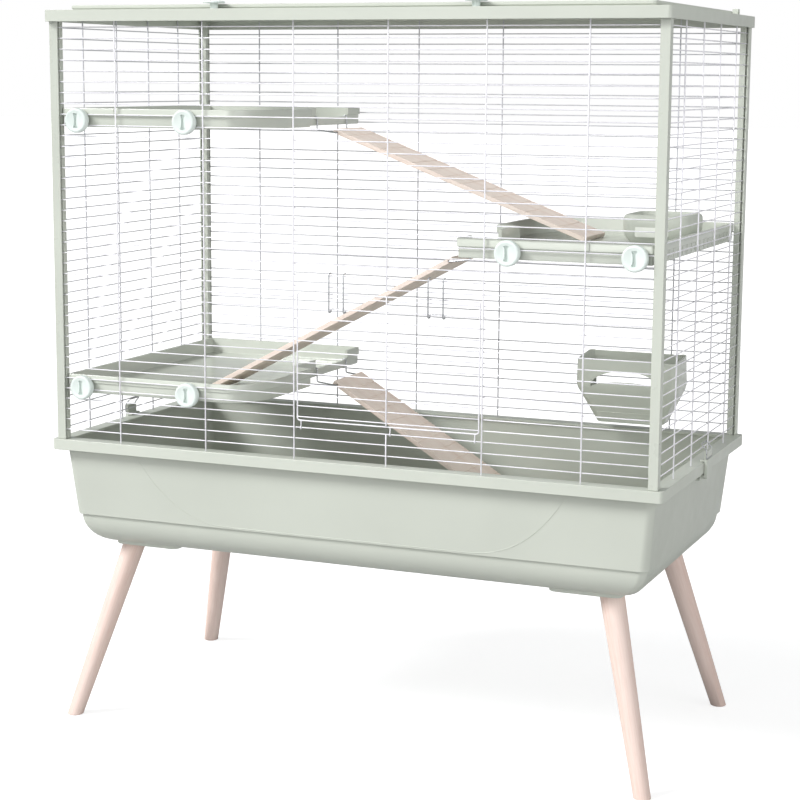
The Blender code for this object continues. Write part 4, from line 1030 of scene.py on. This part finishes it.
def make_rack():
    """A hay rack hooked on the rear wall: flared sides, raised rear corners and a crescent mouth."""
    low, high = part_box("hay_rack")
    floor = low[2]
    outside = (RACK_FOOT, RACK_KNEE, RACK_FLARE, RACK_WIDEST, RACK_TOP)
    inside = (*reversed(outside[1:]), (*RACK_FOOT[:2], RACK_WALL))
    profile = [(0.0, level) for level in outside] + [(RACK_WALL, level) for level in inside]
    rings = []
    for shrink, (half, depth, rise) in profile:
        ears = EAR_RISE if rise == RACK_TOP[2] else 0.0
        rings.append(rack_ring(shrink, half, depth, floor + rise, ears))
    shell = loft(rings)
    mouth = bmesh.new()
    steps = 20
    upper = []
    lower = []
    for step in range(steps + 1):
        share = math.cos(math.pi * step / steps)
        arch = math.sin(math.pi * step / steps)
        upper.append((RACK_X + 0.060 * share, floor + 0.062 + 0.028 * arch))
        lower.append((RACK_X + 0.058 * share, floor + 0.0615 + 0.010 * arch))
    prism_into(mouth, [*upper, *reversed(lower[1:-1])], 0.10, 0.20, "Y")
    window = bmesh.new()
    window_corners = [(x, floor + WINDOW_RISE[0]) for x in WINDOW_X]
    window_corners += [(x, floor + WINDOW_RISE[1]) for x in reversed(WINDOW_X)]
    opening = round_corners(window_corners, RACK_CORNER)
    prism_into(window, opening, SHELF_Y - 0.008, SHELF_Y + 0.008, "Y")
    made = carve(shell, ((mouth, "DIFFERENCE"), (window, "DIFFERENCE")))
    hook_low = row_z(HOOK_ROW) + 0.002
    inner = SHELF_Y - RACK_WALL / 2
    outer = high[1]
    outline = [
        (inner, hook_low - 0.0128),
        (SHELF_Y + 0.0005, hook_low - 0.0128),
        (SHELF_Y + 0.0005, hook_low),
        (outer - HOOK_WALL, hook_low),
        (outer - HOOK_WALL, hook_low - 0.008),
        (outer, hook_low - 0.008),
        (outer, hook_low + HOOK_WALL),
        (inner, hook_low + HOOK_WALL),
    ]
    for side in (-1, 1):
        middle = RACK_X + side * HOOK_OFFSET
        prism_into(made, outline, middle - HOOK_HALF, middle + HOOK_HALF, "X")
    for rise in (0.018, 0.030):
        share = rise / RACK_KNEE[2]
        half = RACK_FOOT[0] + (RACK_KNEE[0] - RACK_FOOT[0]) * share
        depth = RACK_FOOT[1] + (RACK_KNEE[1] - RACK_FOOT[1]) * share
        front = SHELF_Y - depth + 0.0002
        reach = half - 0.012
        line = [(RACK_X - reach, front, floor + rise), (RACK_X + reach, front, floor + rise)]
        wire_into(made, line, 0.0006, 6)
    finish_piece("hay_rack", made, SAGE_TRAY, 0.0004, sharp=45)


make_bowl()
make_rack()


# ------------------------------------------------------------------ legs

LEG_TOP = (0.408, 0.163, 0.2830)
LEG_FOOT = (0.483, 0.237, 0.0)
LEG_TOP_RADIUS = 0.019
LEG_FOOT_RADIUS = 0.013
# Share of the height and how much the radius is cut back there.
LEG_LEVELS = ((0.0, 0.0012), (0.003, 0.0), (0.25, 0.0), (0.5, 0.0), (0.75, 0.0), (1.0, 0.0))


def make_leg(node, sign_x, sign_y):
    """A turned, tapered leg, cut level at both ends, with its fibres along its length."""
    top = Vector((sign_x * LEG_TOP[0], sign_y * LEG_TOP[1], LEG_TOP[2]))
    foot = Vector((sign_x * LEG_FOOT[0], sign_y * LEG_FOOT[1], LEG_FOOT[2]))
    axis = (top - foot).normalized()
    matrix = Matrix.Translation(foot) @ axis.to_track_quat("Z", "Y").to_matrix().to_4x4()
    back = matrix.inverted()
    rings = []
    for share, shrink in LEG_LEVELS:
        centre = foot.lerp(top, share)
        radius = LEG_FOOT_RADIUS + (LEG_TOP_RADIUS - LEG_FOOT_RADIUS) * share - shrink
        ring = circle_points(radius, 48, centre[:2])
        rings.append([back @ Vector((*point, centre[2])) for point in ring])
    finish_piece(node, loft(rings), WOOD_Z, matrix=matrix, sharp=50)


for side_name, side_sign in (("left", -1), ("right", 1)):
    make_leg(f"leg_front_{side_name}", side_sign, -1)
    make_leg(f"leg_rear_{side_name}", side_sign, 1)


# ------------------------------------------------------------------ side latches


def make_side_bail(node, sign):
    """The bent wire of a side latch, its two ends held in the lever."""
    groove_z = 0.4695
    bail_x = 0.5092
    half_width = 0.016
    half = [
        (bail_x, 0.0005, groove_z),
        (bail_x, half_width, groove_z),
        (bail_x, half_width, groove_z + 0.0125),
        (bail_x - 0.0085, half_width, groove_z + 0.0225),
    ]
    path = [(sign * x, y, z) for x, y, z in half]
    path += [(sign * x, -y, z) for x, y, z in reversed(half)]
    made = bmesh.new()
    wire_into(made, bent(path, 0.0030), 0.001, 10)
    finish_piece(node, made, STEEL, sharp=60)


for side_name, side_sign in (("left", -1), ("right", 1)):
    latch_name = f"side_latch_{side_name}"
    finish_piece(latch_name, clean_copy(latch_name), SAGE_BAND, 0.0005)
    make_side_bail(f"side_bail_{side_name}", side_sign)


# ------------------------------------------------------------------ floor, light and camera

WORLD_LIGHT = 0.42
FLOOR_GLOW = 0.75
FLOOR_Z = -0.0002
FLOOR_HALF = 40.0
CAMERA_PLACE = (1.1961, -2.8913, 1.0383)
CAMERA_YAW = -0.3935
CAMERA_PITCH = -0.1632
CAMERA_ROLL = 0.0068
CAMERA_LENS = 87.674


def make_floor():
    """A pale matt ground. Its glow is for the camera alone, so it doesn't light the object from below."""
    made, tree, shader, coordinates = start_material("studio_floor")
    tone = noise(tree, coordinates, scale=0.6, detail=2.0)
    stops = ((0.3, (0.43, 0.43, 0.43)), (0.7, (0.46, 0.46, 0.46)))
    tree.links.new(ramp(tree, tone, stops), shader.inputs["Base Color"])
    tree.links.new(spread(tree, tone, 0.75, 0.85), shader.inputs["Roughness"])
    shader.inputs["Specular IOR Level"].default_value = 0.0
    shader.inputs["Emission Color"].default_value = (1.0, 1.0, 1.0, 1.0)
    shader.inputs["Emission Strength"].default_value = FLOOR_GLOW
    dim = add_node(tree, "BsdfDiffuse", {"Color": (0.5, 0.5, 0.5, 1.0)})
    path = add_node(tree, "LightPath")
    values = {0: path.outputs["Is Camera Ray"], 1: dim.outputs[0], 2: shader.outputs[0]}
    mix = add_node(tree, "MixShader", values)
    tree.links.new(mix.outputs[0], tree.nodes["Material Output"].inputs["Surface"])
    outline = ring_points(FLOOR_HALF, FLOOR_HALF, 4.0, 6)
    mesh_data = bmesh.new()
    mesh_data.faces.new([mesh_data.verts.new((*point, FLOOR_Z)) for point in outline])
    floor = link_object("studio_floor", mesh_data, (made,), 30)


def make_world():
    """Even pale surroundings, plain white where the camera sees them."""
    world = bpy.data.worlds.new("studio")
    bpy.context.scene.world = world
    world.use_nodes = True
    tree = world.node_tree
    light = tree.nodes["Background"]
    light.inputs["Color"].default_value = (0.96, 0.98, 1.0, 1.0)
    light.inputs["Strength"].default_value = WORLD_LIGHT
    seen = add_node(tree, "Background", {"Color": (1.0, 1.0, 1.0, 1.0), "Strength": 1.0})
    path = add_node(tree, "LightPath")
    values = {0: path.outputs["Is Camera Ray"], 1: light.outputs[0], 2: seen.outputs[0]}
    mix = add_node(tree, "MixShader", values)
    tree.links.new(mix.outputs[0], tree.nodes["World Output"].inputs["Surface"])


def make_sun(name, strength, direction, angle):
    data = bpy.data.lights.new(name, "SUN")
    data.energy = strength
    data.angle = math.radians(angle)
    lamp = bpy.data.objects.new(name, data)
    lamp.rotation_mode = "QUATERNION"
    lamp.rotation_quaternion = Vector(direction).to_track_quat("-Z", "Y")
    bpy.context.scene.collection.objects.link(lamp)


def make_camera():
    """The photo's viewpoint, with the object's top and feet near the edges of the square frame."""
    data = bpy.data.cameras.new("camera")
    data.lens = CAMERA_LENS
    data.sensor_width = 36.0
    data.clip_start = 0.05
    data.clip_end = 200.0
    camera = bpy.data.objects.new("camera", data)
    yaw = CAMERA_YAW
    pitch = CAMERA_PITCH
    roll = CAMERA_ROLL
    level_ahead = Vector((math.sin(yaw), math.cos(yaw), 0.0))
    ahead = level_ahead * math.cos(pitch) + Vector((0.0, 0.0, math.sin(pitch)))
    right = Vector((math.cos(yaw), -math.sin(yaw), 0.0))
    up = right.cross(ahead)
    tilted_right = right * math.cos(roll) + up * math.sin(roll)
    tilted_up = up * math.cos(roll) - right * math.sin(roll)
    turn = Matrix((tilted_right, tilted_up, -ahead)).transposed().to_4x4()
    camera.matrix_world = Matrix.Translation(CAMERA_PLACE) @ turn
    bpy.context.scene.collection.objects.link(camera)
    bpy.context.scene.camera = camera


make_floor()
make_world()
make_sun("key", strength=3.3, direction=(0.75, 0.62, -0.75), angle=22.0)
make_sun("front", strength=0.8, direction=(0.10, 0.95, -0.12), angle=40.0)
make_sun("fill", strength=1.3, direction=(-0.90, 0.35, -0.15), angle=50.0)
make_camera()
bpy.context.scene.view_settings.view_transform = "Standard"
